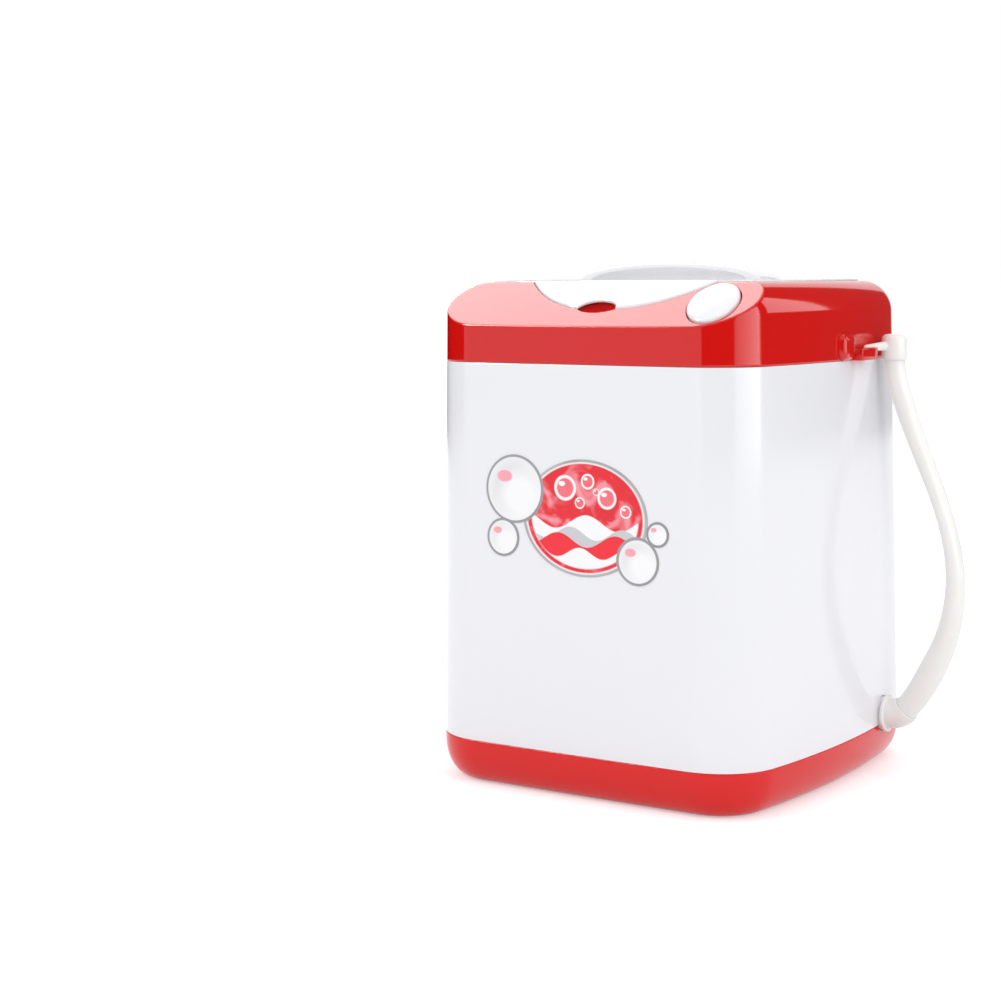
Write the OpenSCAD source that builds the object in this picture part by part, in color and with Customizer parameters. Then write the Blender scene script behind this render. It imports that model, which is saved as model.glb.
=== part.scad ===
// Toy washing machine with a lift-up lid, a turning impeller and a clip-up drain hose.
// Millimetres. The origin is on the floor under the middle of the body, the front faces -Y.

/* [Body] */
// Width of the body between the corner arcs
body_w = 138; // [130:1:150]
// Depth of the body between the corner arcs
body_d = 147.3; // [140:0.5:160]
// Radius of the upright corners
corner_r = 24.4; // [18:0.2:30]
// How far the left and right sides swell
side_bulge = 3.56; // [0:0.1:5]
// How far the front and back swell
front_bulge = 0.35; // [0:0.05:1]
// Lean of the walls inwards, in degrees
draft = 0.48; // [0:0.02:0.8]
// Wall of the sleeve, base and console
wall = 2.2; // [1.8:0.1:2.6]

/* [Base] */
// Height of the base
base_h = 16.7; // [14:0.1:20]
// Height of the rounded lower edge
base_round_h = 14; // [8:0.5:14]
// How far the rounded lower edge curves in
base_round_in = 9.4; // [5:0.2:11]
// Height of the inner lips that locate the sleeve
lip_h = 4; // [3:0.5:6]
// Thickness of the inner lips
lip_t = 1.4; // [1.2:0.1:1.8]
// Gap between a lip and the wall it locates
lip_gap = 0.2; // [0.1:0.05:0.3]

/* [Sleeve and console] */
// Height at which the sleeve meets the console
sleeve_top = 156.8; // [150:0.2:165]
// Height of the console
console_h = 29.5; // [28:0.5:32]
// Radius of the rounded top edge
top_fillet = 12; // [9:0.5:13]
// Height of the upright front band of the console
band_h = 13.8; // [12:0.2:15]
// Slope of the front panel, in degrees
panel_angle = 28.8; // [27:0.2:31]
// Thickness of the sloped panel
panel_t = 4.3; // [4:0.1:5]

/* [Lid] */
// Inset of the lid edge from the body outline
lid_inset = 13; // [12.6:0.1:14]
// Thickness of the lid
lid_t = 2.6; // [2.2:0.1:3]
// How far the lid stands above the console
lid_proud = 0.7; // [0.4:0.1:1]
// Gap round the lid
lid_gap = 0.4; // [0.3:0.05:0.6]
// Distance of the front tongue from the side
tongue_side = 30; // [28:0.5:35]
// Distance of the tongue's middle from the middle plane
tongue_mid = 3.4; // [0:0.2:4]
// Length of the tongue down the panel
tongue_len = 19.8; // [15:0.2:21]
// Distance of the finger notch from the middle plane
notch_x = 1.4; // [0:0.2:4]
// Width of the finger notch
notch_w = 17.5; // [10:0.5:18]
// Depth of the finger notch
notch_d = 5.6; // [3:0.2:6]
// Depth of the hollow under the finger notch
scoop_d = 3.2; // [1.8:0.1:3.4]
// Half width of the scoop hood
hood_half = 40; // [34:0.5:42]
// Height of the scoop hood above the lid
hood_h = 6.4; // [4:0.2:7.5]
// Length of the hood from its lip backwards
hood_len = 56; // [40:1:58]
// Distance of the hood lip in front of the body middle
hood_lip = 5; // [2:0.5:10]
// Depth of the finger dish under the hood lip
dish_depth = 5; // [3:0.5:6]
// Radius of the hinge barrel
barrel_r = 2.6; // [2.4:0.1:3]
// Distance of the hinge axis behind the body middle
hinge_y = 57.4; // [56.6:0.2:58]
// Radius of the hinge pegs
peg_r = 1.6; // [1.3:0.1:1.8]
// Length of the hinge pegs
peg_len = 3.6; // [2.5:0.1:4.2]

/* [Power button] */
// Distance of the button's middle from the side
button_in = 20.5; // [18.5:0.5:21]
// Distance of the button up the panel
button_s = 16.8; // [15.5:0.1:17.5]
// Half width of the button
button_rx = 9.4; // [8:0.1:10]
// Half length of the button
button_ry = 13.6; // [11:0.1:14]
// Lean of the button's long axis, in degrees
button_lean = 12; // [0:1:18]
// Height of the button rim above the panel
button_rim = 0.9; // [0.5:0.1:1.2]
// Height of the button crown above its rim
button_crown = 1.9; // [1:0.1:2.4]
// Travel of the button
button_travel = 2.2; // [1.5:0.1:2.8]
// Radius of the button stem
stem_r = 2.4; // [2:0.1:2.6]

/* [Tub and drive] */
// Outer radius of the tub
tub_r = 50; // [46:0.5:51]
// Wall of the tub
tub_wall = 1.8; // [1.5:0.1:2.2]
// Height of the tub floor underside
tub_bottom = 52; // [51:0.5:58]
// Distance of the tub's middle from the back
tub_back = 64.65; // [63.65:0.5:65.65]
// Radius of the loading mouth
mouth_r = 44; // [40:0.5:44.4]
// Radius of the impeller
impeller_r = 32; // [24:0.5:34]
// Module of the gears
gear_module = 0.8; // [0.78:0.01:0.8]
// Width of the gears
gear_w = 4; // [3:0.2:4.4]
// Radius of the steel shaft
shaft_r = 1.5; // [1.2:0.1:2]
// Radius of the motor can
motor_r = 10; // [9:0.2:10.4]
// Length of the motor can
motor_len = 22; // [18:0.5:23]

/* [Batteries] */
// Radius of a cell
cell_r = 7.1; // [6.8:0.1:7.25]
// Length of a cell
cell_len = 50; // [46:0.5:50.5]
// Width of the battery door
door_w = 62; // [61:0.5:66]
// Height of the battery door
door_h = 38; // [38:0.5:40]

/* [Drain] */
// Height of the drain elbow
drain_z = 20.5; // [20:0.5:24]
// Distance of the drain elbow behind the body middle
drain_y = 36; // [32:0.5:38]
// Radius of the elbow spigot
spigot_r = 4; // [3.4:0.1:4.4]
// Outer radius of the drain socket
socket_r = 6.4; // [6:0.1:7]

/* [Label] */
// Half width of the label's oval
oval_rx = 26; // [20:0.5:28]
// Half height of the label's oval
oval_rz = 21; // [16:0.5:23]
// Height of the oval's middle
label_z = 102; // [90:1:110]
// Thickness of the label
label_t = 0.25; // [0.15:0.05:0.4]

/* [Fits] */
// Clearance of a turning or sliding fit
run_gap = 0.06; // [0.02:0.01:0.1]
// Gap between moving pieces that must not touch
free_gap = 0.3; // [0.25:0.05:0.4]
// Radius of a screw shank
screw_r = 1.4; // [1.2:0.1:1.6]
// Clearance round a screw shank
screw_gap = 0.05; // [0.02:0.01:0.1]

/* [Hidden] */
$fn = 64;
far = 300;
cut = 0.5;

red = "#d81e18";
white = "#f4f4f6";
ivory = "#f1f0ea";
steel = "#b9bcc0";
grey = "#8e9196";

console_top = sleeve_top + console_h;
corner_x = body_w / 2 - corner_r;
corner_y = body_d / 2 - corner_r;
side_angle = 2 * atan(side_bulge / corner_y);
front_angle = 2 * atan(front_bulge / corner_x);
side_r = (corner_y + corner_r * sin(side_angle)) / sin(side_angle);
front_r = (corner_x + corner_r * sin(front_angle)) / sin(front_angle);
side_c = corner_x + corner_r * cos(side_angle) - side_r * cos(side_angle);
front_c = corner_y + corner_r * cos(front_angle) - front_r * cos(front_angle);
front_y = front_c + front_r;
side_x = side_c + side_r;
tub_y = body_d / 2 - tub_back;
button_x = body_w / 2 - button_in;
tongue_half = body_w / 2 - tongue_side;

function lean_in(z) = z * tan(draft);
function polar(r, a) = [r * cos(a), r * sin(a)];
function arc(centre, r, from, to, steps) =
    [for (k = [0:steps - 1]) centre + polar(r, from + (to - from) * k / steps)];
// The body's plan outline, moved inwards by inset
function outline(inset) = concat(
    arc([side_c, 0], side_r - inset, -side_angle, side_angle, 8),
    arc([corner_x, corner_y], corner_r - inset, side_angle, 90 - front_angle, 9),
    arc([0, front_c], front_r - inset, 90 - front_angle, 90 + front_angle, 4),
    arc([-corner_x, corner_y], corner_r - inset, 90 + front_angle, 180 - side_angle, 9),
    arc([-side_c, 0], side_r - inset, 180 - side_angle, 180 + side_angle, 8),
    arc([-corner_x, -corner_y], corner_r - inset, 180 + side_angle, 270 - front_angle, 9),
    arc([0, -front_c], front_r - inset, 270 - front_angle, 270 + front_angle, 4),
    arc([corner_x, -corner_y], corner_r - inset, 270 + front_angle, 360 - side_angle, 9));
function ellipse(rx, ry, steps = 48) =
    [for (k = [0:steps - 1]) [rx * cos(360 * k / steps), ry * sin(360 * k / steps)]];
// Width of the side wall at a distance behind the middle and a height
function side_at(y, z) = side_c + sqrt(side_r * side_r - y * y) - lean_in(z);

// Closed skin over rings of equally many points
module skin(rings) {
    n = len(rings[0]);
    top = n * (len(rings) - 1);
    polyhedron([for (ring = rings) each ring], concat(
        [[for (i = [0:n - 1]) i]],
        [[for (i = [n - 1:-1:0]) top + i]],
        [for (j = [0:len(rings) - 2], i = [0:n - 1])
            [j * n + i, (j + 1) * n + i, (j + 1) * n + (i + 1) % n, j * n + (i + 1) % n]]));
}

// Solid of the body outline through levels of [height, inset]
module loft(levels) {
    skin([for (level = levels) [for (p = outline(level[1])) [p.x, p.y, level[0]]]]);
}

// Solid of the body between two heights, moved inwards from the leaning wall
module body_block(low, high, inset) {
    loft([for (z = [low, high]) [z, lean_in(z) + inset]]);
}

// Tube or rod of round section along points, with one [across, along Y] pair of radii for each
function unit(v) = v / norm(v);
function heading(path, i) =
    unit(path[min(i + 1, len(path) - 1)] - path[max(i - 1, 0)]);
function catmull(a, b, c, d, t) = 0.5 * (2 * b + (c - a) * t
    + (2 * a - 5 * b + 4 * c - d) * t * t + (3 * b - a - 3 * c + d) * t * t * t);
function smooth(path, steps) = [for (i = [0:len(path) - 2], k = [0:steps - 1])
    catmull(path[max(i - 1, 0)], path[i], path[i + 1], path[min(i + 2, len(path) - 1)], k / steps),
    path[len(path) - 1]];
// Ring square to a heading, near the direction called up
function ring(centre, along, up, r, sides) =
    let (across = unit(cross(up, along)), other = cross(along, across))
    [for (k = [0:sides - 1]) centre + r.x * cos(360 * k / sides) * across
        + r.y * sin(360 * k / sides) * other];

module wire(route, up) {
    path = smooth(route, 3);
    skin([for (i = [0:len(path) - 1])
        ring(path[i], heading(path, i), up, [wire_r, wire_r], 8)]);
}

/* Base tray */
door_t = 3;
cell_gap = 0.8;
box_gap = 1;
contact_room = 3;
battery_y = front_y - door_t - cell_r - 1.3;
cell_z = [base_h + cell_r + 1.7, base_h + 3 * cell_r + 1.7 + cell_gap];
box_low = cell_z[0] - cell_r - box_gap;
box_high = cell_z[1] + cell_r + box_gap;
box_half = cell_len / 2 + contact_room;
box_front = battery_y - cell_r - box_gap;
door_boss_y = tub_y + tub_r + 0.8;
door_boss_skin = 1.2;
case_screw_xy = [corner_x + 8.4, corner_y + 7.7];
screw_head_r = 2.8;
screw_head_h = 2;
post_r = 4.4;
counterbore_z = 8;
case_screw_len = 24;

// Body with the rounded lower edge, moved inwards by inset, up to a height
module base_shape(inset, high) {
    loft(concat([for (t = [0:15:90]) [inset + (base_round_h - inset) * (1 - cos(t)),
        inset + lean_in(base_h) + base_round_in * (1 - sin(t))]], [[high, inset + lean_in(high)]]));
}

module corners(xy) {
    for (sx = [-1, 1], sy = [-1, 1]) translate([sx * xy.x, sy * xy.y, 0]) children();
}

module screw(low, length) {
    translate([0, 0, low - screw_head_h]) cylinder(r = screw_head_r, h = screw_head_h);
    translate([0, 0, low]) cylinder(r = screw_r, h = length);
}

module battery_box_space(extra) {
    translate([-box_half - extra, box_front - extra, box_low - extra])
        cube([2 * (box_half + extra), far, box_high - box_low + 2 * extra]);
}

module socket_hole(extra) {
    translate([side_x - 14, drain_y, drain_z]) rotate([0, 90, 0])
        cylinder(r = socket_r + extra, h = far);
}

module base_tray() color(red) difference() {
    union() {
        difference() {
            base_shape(0, base_h);
            base_shape(wall, base_h + cut);
        }
        difference() {
            body_block(base_h - 2, base_h + lip_h, wall + lip_gap);
            body_block(base_h - 2 - cut, base_h + lip_h + cut, wall + lip_gap + lip_t);
        }
        translate([0, 0, base_h - 2]) difference() {
            linear_extrude(2) polygon(outline(wall - 0.1));
            translate([0, 0, -cut]) linear_extrude(3) polygon(outline(wall + lip_gap + lip_t));
        }
        difference() {
            intersection() {
                union() {
                    translate([-box_half - wall, box_front - wall, wall / 2])
                        cube([2 * (box_half + wall), far, box_high + 0.9]);
                    translate([0, door_boss_y, door_screw_z]) rotate([-90, 0, 0])
                        cylinder(r = 3.2, h = far);
                }
                base_shape(wall / 2, far);
            }
            difference() {
                body_block(base_h, far, -cut);
                body_block(base_h - cut, far, wall + lip_gap);
            }
        }
        corners(case_screw_xy) translate([0, 0, wall / 2])
            cylinder(r = post_r, h = base_h - wall / 2);
    }
    battery_box_space(0);
    for (sx = [-1, 1]) translate([sx * box_half, battery_y, cell_z[0] + cell_r])
        cube([2.4, 3, 3], center = true);
    corners(case_screw_xy) {
        translate([0, 0, -cut]) cylinder(r = screw_head_r + 0.4, h = counterbore_z + cut);
        cylinder(r = screw_r + screw_gap, h = far);
    }
    socket_hole(free_gap);
    battery_door_space(free_gap, 0);
    translate([0, door_boss_y + door_boss_skin, door_screw_z]) rotate([-90, 0, 0])
        cylinder(r = screw_r + screw_gap, h = far);
}

/* Sleeve */
module outer_shell() color(white) difference() {
    union() {
        difference() {
            body_block(base_h, sleeve_top, 0);
            body_block(base_h - cut, sleeve_top + cut, wall);
        }
        intersection() {
            union() for (sx = [-1, 1], sy = [-1, 1]) translate([sx * case_screw_xy.x,
                sy * case_screw_xy.y, base_h]) {
                cylinder(r = post_r, h = case_screw_len);
                rotate([0, 0, atan2(sy * 0.68, sx * 0.74)]) translate([0, -0.9, 0])
                    cube([corner_r, 1.8, case_screw_len]);
            }
            body_block(base_h, sleeve_top, wall / 2);
            union() {
                translate([-far, -far, base_h + lip_h + 0.4]) cube([2 * far, 2 * far, far]);
                corners(case_screw_xy) cylinder(r = post_r, h = far);
            }
        }
    }
    corners(case_screw_xy) translate([0, 0, base_h - cut])
        cylinder(r = screw_r + screw_gap, h = case_screw_len - 2);
    socket_hole(free_gap);
    battery_door_space(free_gap, 1);
}

module case_screws() color(steel) corners(case_screw_xy) screw(counterbore_z, case_screw_len);

/* Battery bay and door */
door_low = base_h + 1.8;
door_screw_z = box_high + 3;
door_head_t = 1.2;
door_seat_y = front_y - lean_in(door_low) - door_t + door_head_t;
door_screw_len = door_seat_y - door_boss_y - door_boss_skin - 3;
// Room for the door in the back wall, wider by extra and deeper by deep
module battery_door_space(extra, deep) {
    translate([-door_w / 2 - extra, front_y - lean_in(door_low) - door_t - deep, door_low - extra])
        cube([door_w + 2 * extra, far, door_h + 2 * extra]);
}

module battery_door() color(white) difference() {
    intersection() {
        battery_door_space(0, 0);
        body_block(0, far, 0);
    }
    for (k = [-2:2]) translate([5 * k, front_y + 1, door_low + 8]) rotate([90, 0, 0])
        linear_extrude(2) polygon(ellipse(1, 4, 16));
    translate([0, front_y, door_screw_z]) rotate([90, 0, 0]) {
        translate([0, 0, -cut]) cylinder(r = screw_r + screw_gap, h = far);
        translate([0, 0, -cut]) cylinder(r = screw_head_r + 0.3, h = cut + front_y - door_seat_y);
    }
}

module door_screw() color(steel)
    translate([0, door_seat_y, door_screw_z]) rotate([90, 0, 0]) screw(0, door_screw_len);

cell_nub = 1.2;
module battery_cells() color("#3f6f9f") for (k = [0, 1])
    translate([0, battery_y, cell_z[k]]) rotate([0, k == 0 ? 90 : -90, 0]) {
        translate([0, 0, -cell_len / 2]) cylinder(r = cell_r, h = cell_len - cell_nub);
        translate([0, 0, cell_len / 2 - cell_nub]) cylinder(r = 2.7, h = cell_nub);
    }

contact_t = 0.6;
module contact_plates() color(steel) {
    for (sx = [-1, 1], k = [0, 1]) translate([sx * (box_half - contact_t / 2), battery_y, cell_z[k]])
        cube([contact_t, 2 * cell_r - 3.2, 2 * cell_r - 1], center = true);
}

module contact_springs() color(steel) for (k = [0, 1])
    translate([(k == 0 ? -1 : 1) * (box_half - contact_t), battery_y, cell_z[k]])
        rotate([0, k == 0 ? 90 : -90, 0])
            cylinder(r1 = 4, r2 = 2.4, h = contact_room - contact_t);

/* Console */
panel_y = -(front_y - lean_in(sleeve_top + band_h));
panel_z = sleeve_top + band_h;
panel_len = (console_top - panel_z) / sin(panel_angle);
panel_top_y = panel_y + panel_len * cos(panel_angle);
rim_t = 1.5;
deck_top = console_top + lid_proud - lid_t - lid_gap;
hinge_z = deck_top + lid_gap;
ear_x = corner_x - 0.2;
tub_top = hinge_z - barrel_r - 3;
flange_z = tub_top - 1.2;
flange_t = 2;
tub_screw_r = tub_r + 3.4;
tub_screw_len = 7;

// Places children on the sloped panel, x across and s up the slope, Z square to it
module on_panel(x, s) {
    translate([x, panel_y, panel_z]) rotate([panel_angle, 0, 0]) translate([0, s, 0]) children();
}

// Everything below a flat top and below the panel plane moved out by proud
module under_top(top, proud) {
    z0 = panel_z + proud / cos(panel_angle);
    rotate([90, 0, 90]) linear_extrude(2 * far, center = true) polygon([
        [panel_y - far * cos(panel_angle), z0 - far * sin(panel_angle)],
        [far, z0 - far * sin(panel_angle)], [far, top],
        [panel_y + (top - z0) / tan(panel_angle), top]]);
}

function console_levels(inset, r) = [for (t = [0:15:90])
    [console_top - top_fillet + r * sin(t),
        lean_in(console_top - top_fillet) + inset + r * (1 - cos(t))]];

module console_solid() {
    intersection() {
        loft(concat([[sleeve_top, lean_in(sleeve_top)]], console_levels(0, top_fillet)));
        under_top(console_top, 0);
    }
}

module console_hollow() {
    intersection() {
        loft(concat([[sleeve_top - cut, wall + lean_in(sleeve_top)]],
            console_levels(wall, top_fillet - wall)));
        under_top(console_top, -panel_t);
    }
}

// Plan of the lid, grown by grow on all sides
module lid_plan(grow) {
    half = side_x;
    intersection() {
        polygon(outline(lid_inset + lean_in(console_top) - grow));
        translate([-half, panel_top_y + rim_t + lid_gap - grow])
            square([2 * half, hinge_y - 3.6 + (grow > 0 ? 1.2 : 0) - panel_top_y - rim_t
                - lid_gap + grow]);
    }
    translate([-ear_x - grow + lid_gap, 0]) square([2 * (ear_x + grow - lid_gap), hinge_y]);
    translate([tongue_mid, panel_top_y]) polygon([for (k = [-20:20])
        let (u = k / 20, reach = (tongue_len + grow) * cos(panel_angle))
        [u * (tongue_half + grow), -reach * (1 - pow(abs(u), 2.3))]]);
    translate([tongue_mid - tongue_half - grow, panel_top_y - 0.01])
        square([2 * (tongue_half + grow), 12]);
}

module finger_notch(grow) {
    on_panel(notch_x, panel_len - tongue_len - 0.2) translate([0, 0, -8]) linear_extrude(far)
        polygon(ellipse(notch_w / 2 + grow, notch_d + grow));
}

clip_x = side_at(0, sleeve_top) + 1.3;
tongue_x = side_at(drain_y, sleeve_top) + 4.4;
tongue_z = sleeve_top + 4.6;
tongue_r = 1.7;
tongue_back = 7;
cradle_y = [7, 20];
nose_y = [-3.4, 7.2];
nose_r = 3;
nose_h = 10.2;

module hose_clip() {
    translate([corner_x, nose_y[0], sleeve_top])
        cube([clip_x + 1.2 - corner_x, nose_y[1] - nose_y[0], nose_h - nose_r]);
    translate([corner_x, (nose_y[0] + nose_y[1]) / 2, sleeve_top + nose_h - nose_r]) rotate([0, 90, 0])
        cylinder(r = nose_r, h = clip_x + 1.2 - corner_x);
    translate([corner_x, cradle_y[0], sleeve_top])
        cube([tongue_x + 2.6 - corner_x, cradle_y[1] - cradle_y[0], tongue_z - sleeve_top]);
}

button_skirt = panel_t + free_gap;
button_hook_t = 1.2;
button_hook = 2;

module top_console() color(red) difference() {
    union() {
        difference() {
            console_solid();
            difference() {
                console_hollow();
                translate([0, 0, deck_top - wall]) linear_extrude(far)
                    polygon(outline(lid_inset - 3 + lean_in(console_top)));
                translate([0, tub_y, tub_top]) cylinder(r = tub_r, h = far);
                translate([-ear_x - peg_len - 2, hinge_y - barrel_r - 2.4, hinge_z - barrel_r - 2])
                    cube([2 * (ear_x + peg_len + 2), 2 * barrel_r + 5, far]);
                for (a = [45:90:315]) translate([0, tub_y, flange_z])
                    rotate([0, 0, a]) translate([tub_screw_r, 0, 0]) cylinder(r = 3.4, h = far);
            }
        }
        difference() {
            body_block(sleeve_top - lip_h, sleeve_top + 2, wall + lip_gap);
            body_block(sleeve_top - lip_h - cut, sleeve_top + 2 + cut, wall + lip_gap + lip_t);
        }
        difference() {
            body_block(sleeve_top, sleeve_top + 2, wall - 0.1);
            body_block(sleeve_top - cut, sleeve_top + 2 + cut, wall + lip_gap + lip_t);
        }
        difference() {
            hose_clip();
            body_block(0, far, wall / 2);
        }
    }
    difference() {
        linear_extrude(far) lid_plan(lid_gap);
        under_top(deck_top, -1.9);
    }
    translate([0, tub_y, flange_z - far]) cylinder(r = mouth_r, h = 2 * far);
    translate([0, hinge_y, hinge_z]) rotate([0, 90, 0]) {
        cylinder(r = barrel_r + free_gap, h = 2 * ear_x, center = true);
        cylinder(r = peg_r + run_gap, h = 2 * (ear_x + peg_len + 0.4), center = true);
    }
    translate([-ear_x, hinge_y, hinge_z])
        cube([2 * ear_x, barrel_r + 2 * free_gap + 0.4, far]);
    for (a = [45:90:315]) translate([0, tub_y, flange_z - cut]) rotate([0, 0, a])
        translate([tub_screw_r, 0, 0])
            cylinder(r = screw_r + screw_gap, h = cut + tub_screw_len - flange_t - 0.2);
    on_panel(button_x, button_s) rotate([0, 0, button_lean]) translate([0, 0, -20])
        linear_extrude(far) polygon(ellipse(button_rx + free_gap, button_ry + free_gap));
    finger_scoop();
    translate([tongue_x, cradle_y[0] - 1, tongue_z]) rotate([-90, 0, 0])
        cylinder(r = tongue_r + free_gap, h = far);
    translate([side_at(drain_y, sleeve_top) - 1.2, drain_y - 7.5, sleeve_top - cut])
        cube([6, 6, 4]);
}

// Hollow in the panel under the finger notch
module finger_scoop() {
    half = notch_w / 2 + 0.8;
    reach = 0.92 * notch_d;
    on_panel(notch_x, panel_len - tongue_len + 0.43 * notch_d) skin(concat(
        [for (t = [6:12:78]) [for (p = ellipse(half * sin(t), reach * sin(t), 32))
            [p.x, p.y, -scoop_d * cos(t)]]],
        [[for (p = ellipse(half, reach, 32)) [p.x, p.y, 0.1]]]));
}

/* Lid */
lid_top = console_top + lid_proud;
lip_side_t = 6;
lip_top_t = 1.7;
niche_len = 9;
dish_reach = 15;
dish_y = -hood_lip - 7;
dish_skin = 1.8;

// Quarter of an egg: an arch of this half width and height that closes backwards over its length
module vault(half, height, length, start) {
    skin([for (t = [start:7:84]) [for (k = [0:24]) [
        -half * cos(7.5 * k) * cos(max(t, 0)), -hood_lip + length * sin(t),
        lid_top - (k == 0 || k == 24 ? 0.4 : 0) + height * sin(7.5 * k) * cos(max(t, 0))]]]);
}

// Bowl below the lid top, open upwards
module dish(extra, top) {
    skin(concat([for (t = [6:12:78]) [for (p = ellipse((hood_half - lip_side_t + extra) * sin(t),
        (dish_reach + extra) * sin(t))) [p.x, p.y + dish_y, lid_top - (dish_depth + extra) * cos(t)]]],
        [[for (p = ellipse(hood_half - lip_side_t + extra, dish_reach + extra))
            [p.x, p.y + dish_y, lid_top + top]]]));
}

module lid() color(white) difference() {
    union() {
        difference() {
            intersection() {
                linear_extrude(far) lid_plan(0);
                under_top(lid_top, 0.5);
            }
            under_top(hinge_z, -1.7);
        }
        translate([0, hinge_y, hinge_z]) rotate([0, 90, 0]) {
            cylinder(r = barrel_r, h = 2 * (ear_x - lid_gap), center = true);
            cylinder(r = peg_r, h = 2 * (ear_x + peg_len), center = true);
        }
        vault(hood_half, hood_h, hood_len, 0);
        dish(dish_skin, -1);
    }
    vault(hood_half - lip_side_t, hood_h - lip_top_t, niche_len, -7);
    dish(0, 0.1);
    finger_notch(0);
}

/* Power button and switch */
stem_low = -18;
bracket_half = button_rx + 2.6;
guide_high = -13;
guide_t = 2;

module power_button() color(white) on_panel(button_x, button_s) {
    rotate([0, 0, button_lean]) {
        translate([0, 0, -button_skirt]) linear_extrude(button_skirt + button_rim)
            polygon(ellipse(button_rx, button_ry));
        intersection() {
            translate([0, 0, button_rim]) scale([button_rx, button_ry, button_crown])
                sphere(r = 1, $fn = 48);
            translate([-far, -far, button_rim]) cube(2 * far);
        }
        translate([-button_rx - 1, -button_hook, -button_skirt - button_hook_t])
            cube([2 * button_rx + 2, 2 * button_hook, button_hook_t]);
    }
    translate([0, 0, stem_low]) cylinder(r = stem_r, h = -stem_low - 1);
}

module switch_plunger() color(grey) on_panel(button_x, button_s)
    translate([0, 0, stem_low - 2.5]) cylinder(r = stem_r - 0.6, h = 2.5);

spring_wire = 0.35;
spring_turns = 5;
spring_r = stem_r + 1.5;
spring_low = guide_high + spring_wire;
spring_high = -button_skirt - button_hook_t - spring_wire;
spring_path = [for (k = [0:16 * spring_turns]) let (a = 360 * k / 16)
    [spring_r * cos(a), spring_r * sin(a),
        spring_low + (spring_high - spring_low) * k / (16 * spring_turns)]];

module button_spring() color(steel) on_panel(button_x, button_s)
    skin([for (i = [0:len(spring_path) - 1])
        ring(spring_path[i], heading(spring_path, i), [0, 0, 1], [spring_wire, spring_wire], 6)]);

module switch_bracket() color(white) on_panel(button_x, button_s) difference() {
    union() {
        translate([-bracket_half, -4, guide_high - guide_t]) cube([2 * bracket_half, 13, guide_t]);
        for (sx = [-1, 1]) translate([sx * (bracket_half - 0.8) - 0.8, 5, guide_high - guide_t])
            cube([1.6, 4, -panel_t - guide_high + guide_t]);
    }
    translate([0, 0, guide_high - guide_t - cut]) cylinder(r = stem_r + run_gap, h = 6);
}

module power_switch() color("#2f6fb0") on_panel(button_x, button_s) {
    difference() {
        translate([-4.5, -4.5, guide_high - guide_t - 10]) cube([9, 9, 10]);
        translate([0, 0, stem_low - 2.5 - button_travel - 0.4]) cylinder(r = stem_r + run_gap, h = far);
    }
    for (k = [-1:1]) translate([3 * k, 0, guide_high - guide_t - 12])
        cube([1.2, 0.6, 4], center = true);
}

/* Tub and drive */
tub_round = 8;
gear_z = 35;
plate_z = 32;
plate_t = 2;
pinion_teeth = 10;
idler_big = 36;
idler_small = 12;
output_teeth = 40;
pressure = 25;
backlash = 0.18;
idler_y = tub_y - gear_module * (output_teeth + idler_small) / 2;
motor_y = idler_y - gear_module * (pinion_teeth + idler_big) / 2;
post_x = 22;
post_y = [-24, 26];
post_edge = 4;
plate_screw_len = 12;
boss_z = 47;

// Gear outline: involute flanks with four points each, teeth centred on the +Y axis when even is true
function involute(r, base) = r <= base ? 0 : sqrt(r * r / base / base - 1) * 180 / PI - acos(base / r);
function flank(teeth, r) = let (pitch = gear_module * teeth / 2, base = pitch * cos(pressure))
    90 / teeth - backlash / 4 / pitch * 180 / PI + involute(pitch, base) - involute(r, base);
module gear(teeth, width, on_tooth) {
    pitch = gear_module * teeth / 2;
    radii = [pitch - 1.15 * gear_module, pitch - 0.45 * gear_module, pitch, pitch + 0.4 * gear_module,
        pitch + 0.8 * gear_module];
    turn = 90 + (on_tooth ? 0 : 180 / teeth);
    linear_extrude(width) polygon([for (k = [0:teeth - 1]) let (mid = turn + 360 * k / teeth)
        each concat([for (r = radii) polar(r, mid - flank(teeth, r))],
            [for (i = [4:-1:0]) polar(radii[i], mid + flank(teeth, radii[i]))])]);
}

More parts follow.
